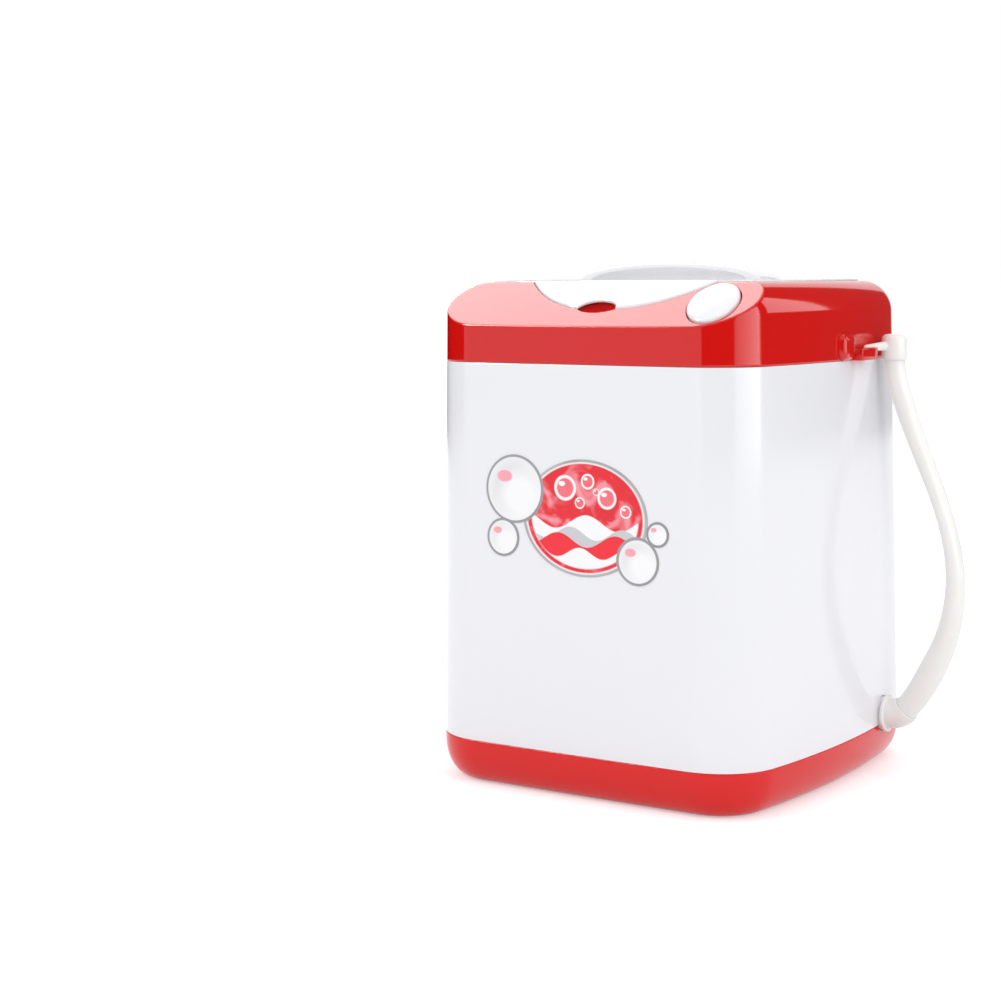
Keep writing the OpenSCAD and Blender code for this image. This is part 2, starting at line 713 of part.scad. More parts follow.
module wash_tub() color("#fafafa") translate([0, tub_y, 0]) difference() {
    union() {
        rotate_extrude($fn = 96) difference() {
            polygon(concat([[0, tub_bottom]],
                arc([tub_r - tub_round, tub_bottom + tub_round], tub_round, -90, 0, 8),
                [[tub_r, tub_bottom + tub_round], [tub_r, flange_z - flange_t],
                    [tub_r + 1.2, flange_z - flange_t], [tub_r + 1.2, flange_z],
                    [tub_r, flange_z], [tub_r, tub_top], [0, tub_top]]));
            polygon(concat([[0, tub_bottom + 2]],
                arc([tub_r - tub_round, tub_bottom + tub_round], tub_round - tub_wall, -90, 0, 8),
                [[tub_r - tub_wall, tub_bottom + tub_round], [tub_r - tub_wall, far], [0, far]]));
        }
        for (a = [45:90:315]) rotate([0, 0, a]) translate([tub_screw_r, 0, flange_z - flange_t])
            cylinder(r = 4, h = flange_t);
        for (a = [45:90:315]) rotate([0, 0, a]) translate([tub_r - 1, -4, flange_z - flange_t])
            cube([tub_screw_r - tub_r + 1, 8, flange_t]);
        translate([0, 0, boss_z]) cylinder(r = 5, h = tub_bottom - boss_z + 1);
        translate([0, idler_y - tub_y, boss_z]) cylinder(r = 3, h = tub_bottom - boss_z + 1);
        for (sx = [-1, 1], y = post_y) translate([sx * post_x, y - tub_y, plate_z + plate_t])
            cylinder(r = 3, h = tub_bottom - plate_z - plate_t + 1);
        translate([outlet.x, outlet.y - tub_y, tub_bottom - 5]) cylinder(r = 4, h = 6);
    }
    for (a = [45:90:315]) rotate([0, 0, a]) translate([tub_screw_r, 0, 0])
        cylinder(r = screw_r + screw_gap, h = far);
    translate([0, 0, boss_z - cut]) cylinder(r = 3.2 + screw_gap, h = 5);
    translate([0, 0, boss_z]) cylinder(r = shaft_r + 0.6, h = 20);
    translate([0, idler_y - tub_y, boss_z - cut]) cylinder(r = 1 + screw_gap, h = 4);
    for (sx = [-1, 1], y = post_y) translate([sx * post_x, y - tub_y, plate_z])
        cylinder(r = screw_r + screw_gap, h = 14);
    translate([outlet.x, outlet.y - tub_y, tub_bottom - 6]) cylinder(r = 2.8, h = 12);
}

module tub_screws() color(steel) translate([0, tub_y, 0]) for (a = [45:90:315]) rotate([0, 0, a])
    translate([tub_screw_r, 0, 0]) screw(flange_z - flange_t, tub_screw_len - 0.6);

bush_h = 4.5;
module shaft_bush() color("#c08a4a") translate([0, tub_y, boss_z]) difference() {
    cylinder(r = 3.2, h = bush_h);
    translate([0, 0, -cut]) cylinder(r = shaft_r + run_gap, h = 10);
}

module shaft_seal() color("#26272b") translate([0, tub_y, tub_bottom + 2]) difference() {
    cylinder(r = 5, h = 1.4);
    translate([0, 0, -cut]) cylinder(r = shaft_r + run_gap, h = 10);
}

module gear_plate() color(grey) difference() {
    union() {
        translate([-post_x - post_edge, post_y[0] - post_edge, plate_z])
            cube([2 * (post_x + post_edge), post_y[1] - post_y[0] + 2 * post_edge, plate_t]);
        translate([-motor_r - 2, motor_y - motor_r - 1, plate_z])
            cube([2 * motor_r + 4, 2 * motor_r + 4, plate_t]);
        translate([0, tub_y, plate_z - 2]) cylinder(r = 4, h = 4);
    }
    translate([0, tub_y, plate_z - 1]) cylinder(r = shaft_r + run_gap, h = 10);
    translate([0, idler_y, plate_z - 1]) cylinder(r = 1 + screw_gap, h = 10);
    translate([0, motor_y, plate_z - 1]) cylinder(r = 3 + screw_gap, h = 10);
    for (sx = [-1, 1]) {
        translate([sx * 8, motor_y, plate_z - 1]) cylinder(r = 1.05, h = 10);
        for (y = post_y) translate([sx * post_x, y, plate_z - 1])
            cylinder(r = screw_r + screw_gap, h = 10);
    }
}

module gear_plate_screws() color(steel)
    for (sx = [-1, 1], y = post_y) translate([sx * post_x, y, 0]) screw(plate_z, plate_screw_len);

module idler_pin() color(steel) translate([0, idler_y, plate_z]) cylinder(r = 1, h = boss_z + 3 - plate_z);

module motor_can() color(steel) translate([0, motor_y, 0]) difference() {
    union() {
        translate([0, 0, plate_z - motor_len]) cylinder(r = motor_r, h = motor_len);
        translate([0, 0, plate_z]) cylinder(r = 3, h = 1.2);
    }
    translate([0, 0, plate_z - motor_len - cut]) cylinder(r = motor_r - 0.8, h = motor_len - 0.6);
    cylinder(r = 1 + run_gap, h = far);
    for (sx = [-1, 1]) translate([sx * 8, 0, 0]) cylinder(r = 1.05, h = far);
}

module motor_end_cap() color("#e8e4d8") translate([0, motor_y, plate_z - motor_len]) difference() {
    union() {
        translate([0, 0, -2]) cylinder(r = motor_r, h = 2);
        cylinder(r = motor_r - 0.9, h = 1.5);
        for (sx = [-1, 1]) translate([sx * 5, -motor_r - 1, -1.2]) cube([2.4, 6, 0.6], center = true);
    }
    translate([0, 0, -1]) cylinder(r = 1 + run_gap, h = 10);
}

module motor_screws() color(steel) for (sx = [-1, 1]) translate([sx * 8, motor_y, plate_z + plate_t]) {
    cylinder(r = 1.7, h = 0.8);
    translate([0, 0, -3.4]) cylinder(r = 1, h = 3.4);
}

module motor_shaft() color(steel) translate([0, motor_y, plate_z - motor_len - 0.8])
    cylinder(r = 1, h = gear_z + 6.4 - plate_z + motor_len + 0.8);

module motor_armature() color("#8a5a3a") translate([0, motor_y, plate_z - motor_len + 4]) difference() {
    cylinder(r = motor_r - 3, h = 12);
    translate([0, 0, -cut]) cylinder(r = 1, h = 20);
    for (a = [90, 210, 330]) rotate([0, 0, a]) translate([motor_r - 5, -0.9, -cut]) cube([5, 1.8, 20]);
}

module motor_pinion() color("#d8b25a") translate([0, motor_y, gear_z - 0.6]) difference() {
    gear(pinion_teeth, gear_w + 1.6, false);
    translate([0, 0, -cut]) cylinder(r = 1, h = 10);
}

module idler_gear() color("#e9e3cf") translate([0, idler_y, 0]) difference() {
    union() {
        translate([0, 0, gear_z]) rotate([0, 0, 180]) gear(idler_big, gear_w, true);
        translate([0, 0, gear_z + gear_w]) gear(idler_small, gear_w + 3.4, false);
        translate([0, 0, plate_z + plate_t + 0.2]) cylinder(r = 2.4, h = 2);
    }
    translate([0, 0, plate_z]) cylinder(r = 1 + run_gap, h = 20);
}

module output_gear() color("#e9e3cf") translate([0, tub_y, gear_z + gear_w + 1.6]) difference() {
    union() {
        rotate([0, 0, 180]) gear(output_teeth, gear_w, true);
        translate([0, 0, -2]) cylinder(r = 4, h = gear_w + 2.2);
    }
    translate([0, 0, -3]) cylinder(r = shaft_r, h = 10);
}

shaft_top = tub_bottom + 8.9;
module impeller_shaft() color(steel) translate([0, tub_y, plate_z - 0.6]) difference() {
    cylinder(r = shaft_r, h = shaft_top - plate_z + 0.6);
    translate([0, 0, shaft_top - plate_z - 4.4]) cylinder(r = 0.8, h = 10);
}

impeller_z = tub_bottom + 3.7;
module impeller() color("#d9e2ec") translate([0, tub_y, impeller_z]) difference() {
    union() {
        rotate_extrude($fn = 96) polygon([[0, 0], [impeller_r - 2, 0], [impeller_r, 1],
            [impeller_r, 2], [impeller_r - 3, 2.8], [10, 3.4], [8, 6], [6, 7], [0, 7]]);
        for (a = [0:90:270]) rotate([0, 0, a]) translate([6, -1.6, 2])
            rotate([90, 0, 90]) linear_extrude(impeller_r - 11)
                polygon([[0, 0], [3.2, 0], [2.4, 4.6], [1.6, 5.2], [0.8, 4.6]]);
    }
    translate([0, 0, -cut]) cylinder(r = shaft_r, h = shaft_top - impeller_z + cut);
    cylinder(r = 1.1, h = 20);
    translate([0, 0, 6.2]) cylinder(r = 2.6, h = 5);
}

module impeller_screw() color(steel) translate([0, tub_y, impeller_z + 6.2]) {
    translate([0, 0, shaft_top - impeller_z - 9.2]) cylinder(r = 0.8, h = impeller_z + 9.2 - shaft_top);
    cylinder(r = 2.3, h = 0.8);
}

/* Drain */
outlet = [34, 30];
pipe_end_x = side_at(drain_y, drain_z) - 9;
pipe_route = [[outlet.x, outlet.y, tub_bottom - 5], [34, 30, 42], [35, 30.5, 36], [39, 32, 30],
    [45, 34, 25], [52, 35.5, 21.5], [57, 36, drain_z], [pipe_end_x, drain_y, drain_z]];

module drain_pipe() color("#dfe3e6") skin([for (i = [0:len(pipe_route) - 1])
    ring(pipe_route[i], heading(pipe_route, i), [0, 1, 0.01], [3.6, 3.6], 16)]);

module drain_socket() color(white) difference() {
    union() {
        translate([pipe_end_x, drain_y, drain_z]) rotate([0, 90, 0])
            cylinder(r = socket_r - 1, h = elbow_x - free_gap - pipe_end_x);
        translate([elbow_x - free_gap - 2.6, drain_y, drain_z]) rotate([0, 90, 0])
            cylinder(r = socket_r, h = 2.6);
        intersection() {
            translate([pipe_end_x, drain_y, drain_z]) rotate([0, 90, 0])
                cylinder(r = socket_r + 2.4, h = 20);
            difference() {
                body_block(base_h + lip_h + 0.4, far, wall + 0.05);
                body_block(base_h, far, wall + 1.8);
            }
        }
    }
    translate([pipe_end_x - cut, drain_y, drain_z]) rotate([0, 90, 0])
        cylinder(r = spigot_r + run_gap, h = far);
}

elbow_x = side_at(drain_y - socket_r, drain_z) + 0.7;
hose_plane_start = [elbow_x + 8.2, drain_z + 2.6];
cap_r = 4.8;
cap_x = tongue_x + 2.2;
cap_low = sleeve_top - 0.8;
cap_top = cap_low + 10;
// Bow of the hose, as [distance out from the side, share of its rise, half width across]
hose_bow = [[12.24, 0.0444, 4.9], [17.94, 0.1159, 5.1], [23.44, 0.2024, 4.6], [26.44, 0.2852, 4.1],
    [27.64, 0.3679, 3.7], [26.84, 0.4507, 3.4], [24.44, 0.5335, 3.2], [20.84, 0.6163, 3.2],
    [16.44, 0.699, 3.4], [11.94, 0.7818, 3.6], [7.94, 0.8646, 3.9], [4.84, 0.9398, 4]];
// Centre line of the hose from the elbow to the cap, as [x, z, half width across]
hose_route = concat([[hose_plane_start.x, hose_plane_start.y, 4.6]],
    [for (b = hose_bow) [side_x + b[0], hose_plane_start.y + b[1] * (cap_low - hose_plane_start.y), b[2]]],
    [[cap_x, cap_low, 4]]);
hose_wall = 1;

module hose_skin(thin) {
    path = smooth(hose_route, 2);
    points = [for (p = path) [p[0], drain_y, p[1]]];
    last = len(path) - 1;
    skin([for (i = [0:last]) ring(points[i], i == 0 ? [0.7071, 0, 0.7071] :
        (i == last ? [0, 0, 1] : heading(points, i)), [0, 1, 0], [path[i][2] - thin, 4.3 - thin], 16)]);
}

module drain_hose() color(ivory) difference() {
    hose_skin(0);
    hose_skin(hose_wall);
}

module hose_elbow() color(ivory) difference() {
    union() {
        translate([pipe_end_x + 2, drain_y, drain_z]) rotate([0, 90, 0])
            cylinder(r = spigot_r, h = elbow_x - pipe_end_x - 1.5);
        translate([elbow_x, drain_y, drain_z]) rotate([0, 90, 0]) cylinder(r = 6.8, h = 1.5);
        elbow_bend(5.4, elbow_x + 1, 0);
    }
    translate([pipe_end_x, drain_y, drain_z]) rotate([0, 90, 0])
        cylinder(r = 2.6, h = elbow_x + 1 - pipe_end_x);
    elbow_bend(2.4, elbow_x + 0.9, 1);
}

// Round bend from the side wall up to the hose, ending past by over
module elbow_bend(r, from_x, over) {
    turn_r = (hose_plane_start[1] - drain_z) / (1 - cos(45));
    turn_x = hose_plane_start[0] - turn_r * sin(45);
    points = concat([[from_x, drain_y, drain_z]], [for (a = [0:7.5:45])
        [turn_x + turn_r * sin(a), drain_y, drain_z + turn_r * (1 - cos(a))]],
        over > 0 ? [[hose_plane_start[0] + over, drain_y, hose_plane_start[1] + over]] : []);
    skin([for (i = [0:len(points) - 1]) ring(points[i],
        i < 2 ? [1, 0, 0] : (i >= 8 ? [0.7071, 0, 0.7071] : [cos(7.5 * (i - 1)), 0, sin(7.5 * (i - 1))]),
        [0, 1, 0], [r, r], 24)]);
}

module hose_cap() color(ivory) translate([cap_x, drain_y, 0]) {
    rotate_extrude() polygon([[0, cap_low], [cap_r - 0.4, cap_low], [cap_r, cap_low + 0.6],
        [cap_r, cap_top - 2.4], [cap_r - 0.5, cap_top - 1], [cap_r - 1.6, cap_top - 0.2],
        [cap_r - 3, cap_top], [0, cap_top]]);
    translate([-2.2, -3, tongue_z]) rotate([90, 0, 0])
        cylinder(r1 = tongue_r, r2 = 0.8, h = drain_y - 3 - cradle_y[0] - tongue_back);
}

/* Label */
label_x = 4;
bubbles = [[-26, 9, 12.5], [-31, -9, 7], [26, -14, 8.5], [34, -4, 4.5]];
module label_shape(grow) {
    translate([label_x, 0]) polygon(ellipse(oval_rx + grow, oval_rz + grow, 72));
    for (b = bubbles) translate([b[0], b[1]]) circle(r = b[2] + grow);
}

module front_label() color("#c8151b") intersection() {
    translate([0, 0, label_z]) rotate([90, 0, 0]) linear_extrude(far) label_shape(0);
    difference() {
        body_block(base_h, sleeve_top, -label_t);
        body_block(base_h - cut, sleeve_top + cut, 0);
    }
}

/* Leads */
wire_r = 0.8;
red_route = [[box_half + 3.6, front_y - 16, 42], [side_x - 36.6, front_y - 16, 48],
    [side_x - 26.6, front_y - 21, 58], [side_x - 17.6, front_y - 32, 76], [side_x - 11.6, 20, 100],
    [side_x - 10.6, -8, 122], [side_x - 12.6, 44 - front_y, sleeve_top - 16.8],
    [button_x + 5.5, 32 - front_y, sleeve_top - 7.8], [button_x + 1.5, 27.5 - front_y, sleeve_top - 4.3]];
black_route = [[-box_half - 3.6, front_y - 16, 24], [36.6 - side_x, front_y - 19, 12],
    [32.6 - side_x, front_y - 34, 5], [34.6 - side_x, 10, 4], [44.6 - side_x, motor_y + 8.2, 4],
    [-16, motor_y - 7.8, 5], [-7, motor_y - 12.8, 8]];
blue_route = [[button_x - 2.5, 27.5 - front_y, sleeve_top - 4.3],
    [button_x - 1.5, 26 - front_y, sleeve_top - 9.8], [button_x + 1.5, 22 - front_y, sleeve_top - 21.8],
    [side_x - 19.6, 19 - front_y, 110], [side_x - 20.6, 18 - front_y, 80],
    [side_x - 26.6, 24 - front_y, 48], [side_x - 34.6, 28 - front_y, 24], [28, motor_y - 13.8, 11],
    [16, motor_y - 13.8, 7], [7, motor_y - 12.8, 8]];

module red_wire() color("#c8201c") wire(red_route, [1, 0, 0]);
module black_wire() color("#1d1d20") wire(black_route, [0, 0, 1]);
module blue_wire() color("#2458a8") wire(blue_route, [0, 1, 0]);

outer_shell();
base_tray();
top_console();
front_label();
wash_tub();
tub_screws();
case_screws();
shaft_bush();
shaft_seal();
gear_plate();
gear_plate_screws();
idler_pin();
motor_can();
motor_end_cap();
motor_screws();
motor_shaft();
motor_armature();
motor_pinion();
idler_gear();
output_gear();
impeller_shaft();
impeller();
impeller_screw();
lid();
power_button();
switch_plunger();
button_spring();
switch_bracket();
power_switch();
battery_cells();
contact_plates();
contact_springs();
battery_door();
door_screw();
drain_pipe();
drain_socket();
hose_elbow();
drain_hose();
hose_cap();
red_wire();
black_wire();
blue_wire();
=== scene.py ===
import math

import bpy
import numpy as np
from mathutils import Matrix, Vector


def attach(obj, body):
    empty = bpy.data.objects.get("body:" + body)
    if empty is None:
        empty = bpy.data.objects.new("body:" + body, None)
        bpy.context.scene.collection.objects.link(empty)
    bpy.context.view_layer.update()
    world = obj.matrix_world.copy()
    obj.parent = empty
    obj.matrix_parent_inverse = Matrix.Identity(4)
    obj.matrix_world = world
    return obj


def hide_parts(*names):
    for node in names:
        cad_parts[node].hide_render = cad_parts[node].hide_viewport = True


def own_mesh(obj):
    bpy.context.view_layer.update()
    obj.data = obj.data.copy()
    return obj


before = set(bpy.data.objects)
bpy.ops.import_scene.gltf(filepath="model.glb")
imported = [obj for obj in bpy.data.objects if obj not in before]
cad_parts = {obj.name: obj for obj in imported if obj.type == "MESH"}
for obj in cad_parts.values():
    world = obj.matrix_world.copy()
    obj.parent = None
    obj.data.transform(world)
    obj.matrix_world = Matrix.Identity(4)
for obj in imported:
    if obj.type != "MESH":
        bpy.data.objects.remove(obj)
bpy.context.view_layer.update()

# Viewpoint: eye level with the lid, a third of a turn towards the hose side, as in the photograph.
eye = bpy.data.cameras.new("eye")
eye.lens, eye.sensor_width, eye.shift_y = 73.65, 36, -0.2247
eye.clip_start, eye.clip_end = 0.01, 50
viewpoint = bpy.data.objects.new("viewpoint", eye)
view_turn, view_roll = math.radians(34.0142), math.radians(-0.2835)
viewpoint.matrix_world = (Matrix.Translation((0.3894, -0.6971, 0.1890)) @ Matrix.Rotation(view_turn, 4, "Z")
                          @ Matrix.Rotation(math.pi / 2, 4, "X") @ Matrix.Rotation(view_roll, 4, "Z"))
bpy.context.scene.collection.objects.link(viewpoint)
bpy.context.scene.camera = viewpoint
bpy.context.scene.view_settings.view_transform = "Standard"

# Console: the red top moulding, injection moulded in glossy ABS. An upright band, a panel that
# slopes back to the lid, a rounded upper edge, a sunk deck under the lid with the loading mouth,
# and the bracket on the right wall that holds the end of the hose.
MM = 0.001
BODY_WIDTH, BODY_DEPTH, CORNER_R = 138, 147.3, 24.4
SIDE_SWELL, FRONT_SWELL, DRAFT = 3.56, 0.35, math.tan(math.radians(0.48))
WALL = 2.2
SEAM_Z, CONSOLE_H, TOP_ROUND, BAND_H = 156.8, 29.5, 12.0, 13.8
SLOPE = math.radians(28.8)
MOUTH_R, TUB_Y = 44.0, 9.0
LID_INSET, LID_T, LID_PROUD, LID_GAP = 13.0, 2.6, 0.7, 0.4
TONGUE_HALF, TONGUE_LEN, TONGUE_POWER, TONGUE_MID = 39.0, 19.8, 2.3, 3.4
HINGE_Y, BARREL_R, FREE_GAP = 57.4, 2.6, 0.3

console_top = SEAM_Z + CONSOLE_H
corner_x, corner_y = BODY_WIDTH / 2 - CORNER_R, BODY_DEPTH / 2 - CORNER_R
side_turn = 2 * math.atan(SIDE_SWELL / corner_y)
front_turn = 2 * math.atan(FRONT_SWELL / corner_x)
side_r = (corner_y + CORNER_R * math.sin(side_turn)) / math.sin(side_turn)
front_r = (corner_x + CORNER_R * math.sin(front_turn)) / math.sin(front_turn)
side_c = corner_x + CORNER_R * math.cos(side_turn) - side_r * math.cos(side_turn)
front_c = corner_y + CORNER_R * math.cos(front_turn) - front_r * math.cos(front_turn)
front_y = front_c + front_r
panel_z = SEAM_Z + BAND_H
panel_y = DRAFT * panel_z - front_y
panel_len = (console_top - panel_z) / math.sin(SLOPE)
panel_top_y = panel_y + panel_len * math.cos(SLOPE)
deck_top = console_top + LID_PROUD - LID_T - LID_GAP
hinge_z = deck_top + LID_GAP
lid_top = console_top + LID_PROUD
ear_x = corner_x - 0.2


def inward(x, y):
    """Distance of a point inside the body's plan from its outline."""
    x, y = np.abs(x), np.abs(y)
    turn = np.arctan2(y - corner_y, x - corner_x)
    near_corner = (x > corner_x) & (y > corner_y) & (turn > side_turn) & (turn < math.pi / 2 - front_turn)
    return np.where(near_corner, CORNER_R - np.hypot(x - corner_x, y - corner_y),
                    np.minimum(side_r - np.hypot(x - side_c, y), front_r - np.hypot(x, y - front_c)))


def panel_at(y, proud=0.0):
    """Height of the sloped panel, moved out square to itself by proud."""
    return panel_z + (y - panel_y) * math.tan(SLOPE) + proud / math.cos(SLOPE)


def tongue_at(x, grow):
    """Front edge of the lid's tongue, or far behind where there is none."""
    share = np.abs(x - TONGUE_MID) / (TONGUE_HALF + grow)
    reach = (TONGUE_LEN + grow) * math.cos(SLOPE)
    return np.where(share < 1, panel_top_y - reach * (1 - share ** TONGUE_POWER), 99.0)


def in_lid(x, y, grow):
    """True inside the lid's plan, grown by grow on all sides."""
    back = HINGE_Y - 3.6 + (1.2 if grow > 0 else 0)
    plate = (inward(x, y) > LID_INSET + DRAFT * console_top - grow) & (y < back)
    plate &= y > panel_top_y + 1.5 + LID_GAP - grow
    ears = (np.abs(x) < ear_x + grow - LID_GAP) & (y > 0) & (y < HINGE_Y)
    tongue = (y > tongue_at(x, grow)) & (y < 0) & (np.abs(x - TONGUE_MID) < TONGUE_HALF + grow)
    return plate | ears | tongue


def spread(count):
    """Directions round the tub's axis, closer together where the body's corners turn."""
    fine = np.linspace(0, 2 * math.pi, 4001)
    weight = 1 + 1.6 * np.exp(-((np.abs(np.cos(fine)) - 0.66) / 0.16) ** 2)
    total = np.concatenate([[0], np.cumsum((weight[1:] + weight[:-1]) / 2)])
    return np.interp(np.arange(count) / count, total / total[-1], fine)


def out_to(turn, inside):
    """Furthest distance from the tub's axis, in each direction, at which inside(x, y) holds."""
    far = np.arange(30, 112, 0.05)
    x = far[None, :] * np.cos(turn)[:, None]
    y = TUB_Y + far[None, :] * np.sin(turn)[:, None]
    held = inside(x, y)
    return far[held.shape[1] - 1 - np.argmax(held[:, ::-1], axis=1)]


def even_out(line, step):
    """The line with its points a step apart."""
    gaps = np.hypot(*np.diff(line, axis=0).T)
    along = np.concatenate([[0], np.cumsum(gaps)])
    at = np.linspace(0, along[-1], max(int(along[-1] / step), 2) + 1)
    return np.column_stack([np.interp(at, along, line[:, k]) for k in range(line.shape[1])])


def soften(closed, half):
    """A closed line with its edges rounded over half this many points, run twice."""
    kernel = np.ones(2 * half + 1) / (2 * half + 1)
    for _ in range(2):
        padded = np.concatenate([closed[-half:], closed, closed[:half]])
        closed = np.column_stack([np.convolve(padded[:, k], kernel, "valid") for k in range(closed.shape[1])])
    return closed


def pick(line, count, pull=1.6):
    """So many points of a dense open line, gathered where it bends."""
    step = np.diff(line, axis=0)
    gap = np.maximum(np.hypot(*step.T), 1e-9)
    aim = np.unwrap(np.arctan2(step[:, 1], step[:, 0]))
    bend = np.abs(np.concatenate([[0], np.diff(aim)]))
    along = np.concatenate([[0], np.cumsum(gap + pull * bend)])
    at = np.linspace(0, along[-1], count)
    return np.column_stack([np.interp(at, along, line[:, k]) for k in range(2)])


def make_piece(name, points, faces):
    """A mesh object from points in millimetres."""
    mesh = bpy.data.meshes.new(name)
    mesh.from_pydata((np.asarray(points) * MM).tolist(), [], faces)
    mesh.validate()
    made = bpy.data.objects.new(name, mesh)
    bpy.context.scene.collection.objects.link(made)
    return made


def lattice(rows, columns, close_rows=False, close_columns=True, cap=False):
    """Quads over rows of points, closed round or capped at the ends as asked."""
    quads = []
    for i in range(rows if close_rows else rows - 1):
        for j in range(columns if close_columns else columns - 1):
            a, b = i * columns + j, i * columns + (j + 1) % columns
            c, d = (i + 1) % rows * columns + (j + 1) % columns, (i + 1) % rows * columns + j
            quads.append((a, b, c, d))
    if cap:
        quads += [tuple(range(columns - 1, -1, -1)), tuple(range((rows - 1) * columns, rows * columns))]
    return quads


def rings(name, loops):
    """A closed solid skinned over loops of equally many points."""
    loops = np.asarray(loops)
    return make_piece(name, loops.reshape(-1, 3), lattice(len(loops), loops.shape[1], cap=True))


def carve(part, tool, how="DIFFERENCE"):
    """Cuts a tool away from a part, or joins it on, and keeps the result as the part's mesh."""
    for o in (part, tool):
        turn_out(o)
    change = part.modifiers.new("carve", "BOOLEAN")
    change.operation, change.object, change.solver = how, tool, "EXACT"
    whole = part.evaluated_get(bpy.context.evaluated_depsgraph_get())
    mesh = bpy.data.meshes.new_from_object(whole)
    part.modifiers.clear()
    part.data = mesh
    bpy.data.objects.remove(tool)


def turn_out(part):
    """Turns a solid's faces outwards: a negative volume means that they all face in."""
    mesh = part.data
    mesh.calc_loop_triangles()
    at = np.array([v.co for v in mesh.vertices])
    corners = np.array([t.vertices for t in mesh.loop_triangles])
    a, b, c = at[corners[:, 0]], at[corners[:, 1]], at[corners[:, 2]]
    if np.einsum("ij,ij->i", a, np.cross(b, c)).sum() < 0:
        mesh.flip_normals()


def finish_piece(part, material, body, node=None, sharp=38):
    """Smooth shading up to an angle, the finish, and the CAD body and node it stands for."""
    turn_out(part)
    part.data.polygons.foreach_set("use_smooth", [True] * len(part.data.polygons))
    part.data.set_sharp_from_angle(angle=math.radians(sharp))
    part.data.materials.clear()
    part.data.materials.append(material)
    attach(part, body)
    if node:
        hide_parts(node)


class Shade:
    """A socket in a material. Arithmetic on it adds Math nodes, and add() places any other node."""

    def __init__(self, tree, socket=None):
        self.tree, self.socket = tree, socket

    def add(self, kind, settings=None, sockets=None, out=0):
        node = self.tree.nodes.new(kind)
        for name, value in (settings or {}).items():
            if name == "stops":
                while len(node.color_ramp.elements) < len(value):
                    node.color_ramp.elements.new(0.5)
                for stop, (place, colour) in zip(node.color_ramp.elements, value):
                    stop.position, stop.color = place, (*colour, 1)
            else:
                setattr(node, name, value)
        for name, value in (sockets or {}).items():
            if isinstance(value, Shade):
                self.tree.links.new(value.socket, node.inputs[name])
            else:
                node.inputs[name].default_value = value
        return Shade(self.tree, node.outputs[out])

    def maths(self, operation, *values):
        return self.add("ShaderNodeMath", {"operation": operation}, dict(enumerate(values)))

    def __add__(self, other):
        return self.maths("ADD", self, other)

    def __sub__(self, other):
        return self.maths("SUBTRACT", self, other)

    def __rsub__(self, other):
        return self.maths("SUBTRACT", other, self)

    def __mul__(self, other):
        return self.maths("MULTIPLY", self, other)

    def __truediv__(self, other):
        return self.maths("DIVIDE", self, other)

    __radd__, __rmul__ = __add__, __mul__

    def limit(self):
        return self.maths("MINIMUM", self, 1.0)

    def root(self):
        return self.maths("SQRT", self)

    def sine(self):
        return self.maths("SINE", self)

    def mix(self, low, high):
        """Colour low where this is 0 and high where it is 1."""
        return self.add("ShaderNodeMix", {"data_type": "RGBA"}, {0: self, 6: low, 7: high}, out=2)


def colour(red, green, blue):
    """Linear colour, with alpha, from the three values 0 to 255 that a picture shows."""
    def linear(value):
        value /= 255
        return value / 12.92 if value <= 0.04045 else ((value + 0.055) / 1.055) ** 2.4
    return (linear(red), linear(green), linear(blue), 1)


def start_material(name):
    """A new material's tools: a Shade to add nodes with, its place socket and its surface node."""
    material = bpy.data.materials.new(name)
    material.use_nodes = True
    tree = material.node_tree
    tool = Shade(tree)
    place = tool.add("ShaderNodeTexCoord", out=3)
    return material, tool, place, tree.nodes["Principled BSDF"]


def feed(surface, **sockets):
    """Sets or links the surface's sockets, named with _ for a space."""
    for name, value in sockets.items():
        socket = surface.inputs[name.replace("_", " ")]
        if isinstance(value, Shade):
            value.tree.links.new(value.socket, socket)
        else:
            socket.default_value = value


def moulded(name, main, deep, rough, ripple=0.00002, coat=0.0, tint=0.35, soft=0.0,
            shine=0.5):
    """Moulded plastic: a faint cloudiness of colour, the tool's ripple, fine rubbed hairlines and dust."""
    material, tool, place, surface = start_material(name)
    cloud = tool.add("ShaderNodeTexNoise", None, {"Vector": place, "Scale": 22.0, "Detail": 3.0})
    grain = tool.add("ShaderNodeTexNoise", None, {"Vector": place, "Scale": 900.0, "Detail": 2.0})
    ripples = tool.add("ShaderNodeTexNoise", None, {"Vector": place, "Scale": 160.0, "Detail": 1.5})
    stretched = tool.add("ShaderNodeMapping", None, {"Vector": place, "Scale": (260.0, 40.0, 2600.0),
                                                     "Rotation": (0.3, 0.5, 0.8)})
    hairs = tool.add("ShaderNodeTexNoise", None, {"Vector": stretched, "Scale": 1.0, "Detail": 4.0})
    rubbed = tool.add("ShaderNodeMapRange", None, {"Value": hairs, "From Min": 0.56, "From Max": 0.72,
                                                   "To Min": 0.0, "To Max": 1.0})
    worn = tool.add("ShaderNodeMapRange", None, {"Value": cloud, "From Min": 0.42, "From Max": 0.68,
                                                 "To Min": 0.0, "To Max": 1.0})
    bump = tool.add("ShaderNodeBump", None, {"Strength": 0.35, "Distance": ripple,
                                             "Height": ripples + 0.12 * grain})
    feed(surface, Base_Color=(tint * cloud + 0.5 * (1 - tint)).mix(deep, main),
         Roughness=rough + 0.05 * worn + 0.10 * rubbed * worn + 0.03 * grain, Normal=bump, IOR=1.5)
    feed(surface, Specular_IOR_Level=shine, Coat_Weight=coat, Coat_Roughness=0.04)
    if soft:
        feed(surface, Subsurface_Weight=soft, Subsurface_Radius=(0.004, 0.0034, 0.0028), Subsurface_Scale=1.0)
    return material


red_plastic = moulded("red_plastic", colour(217, 20, 14), colour(206, 14, 10), 0.07)

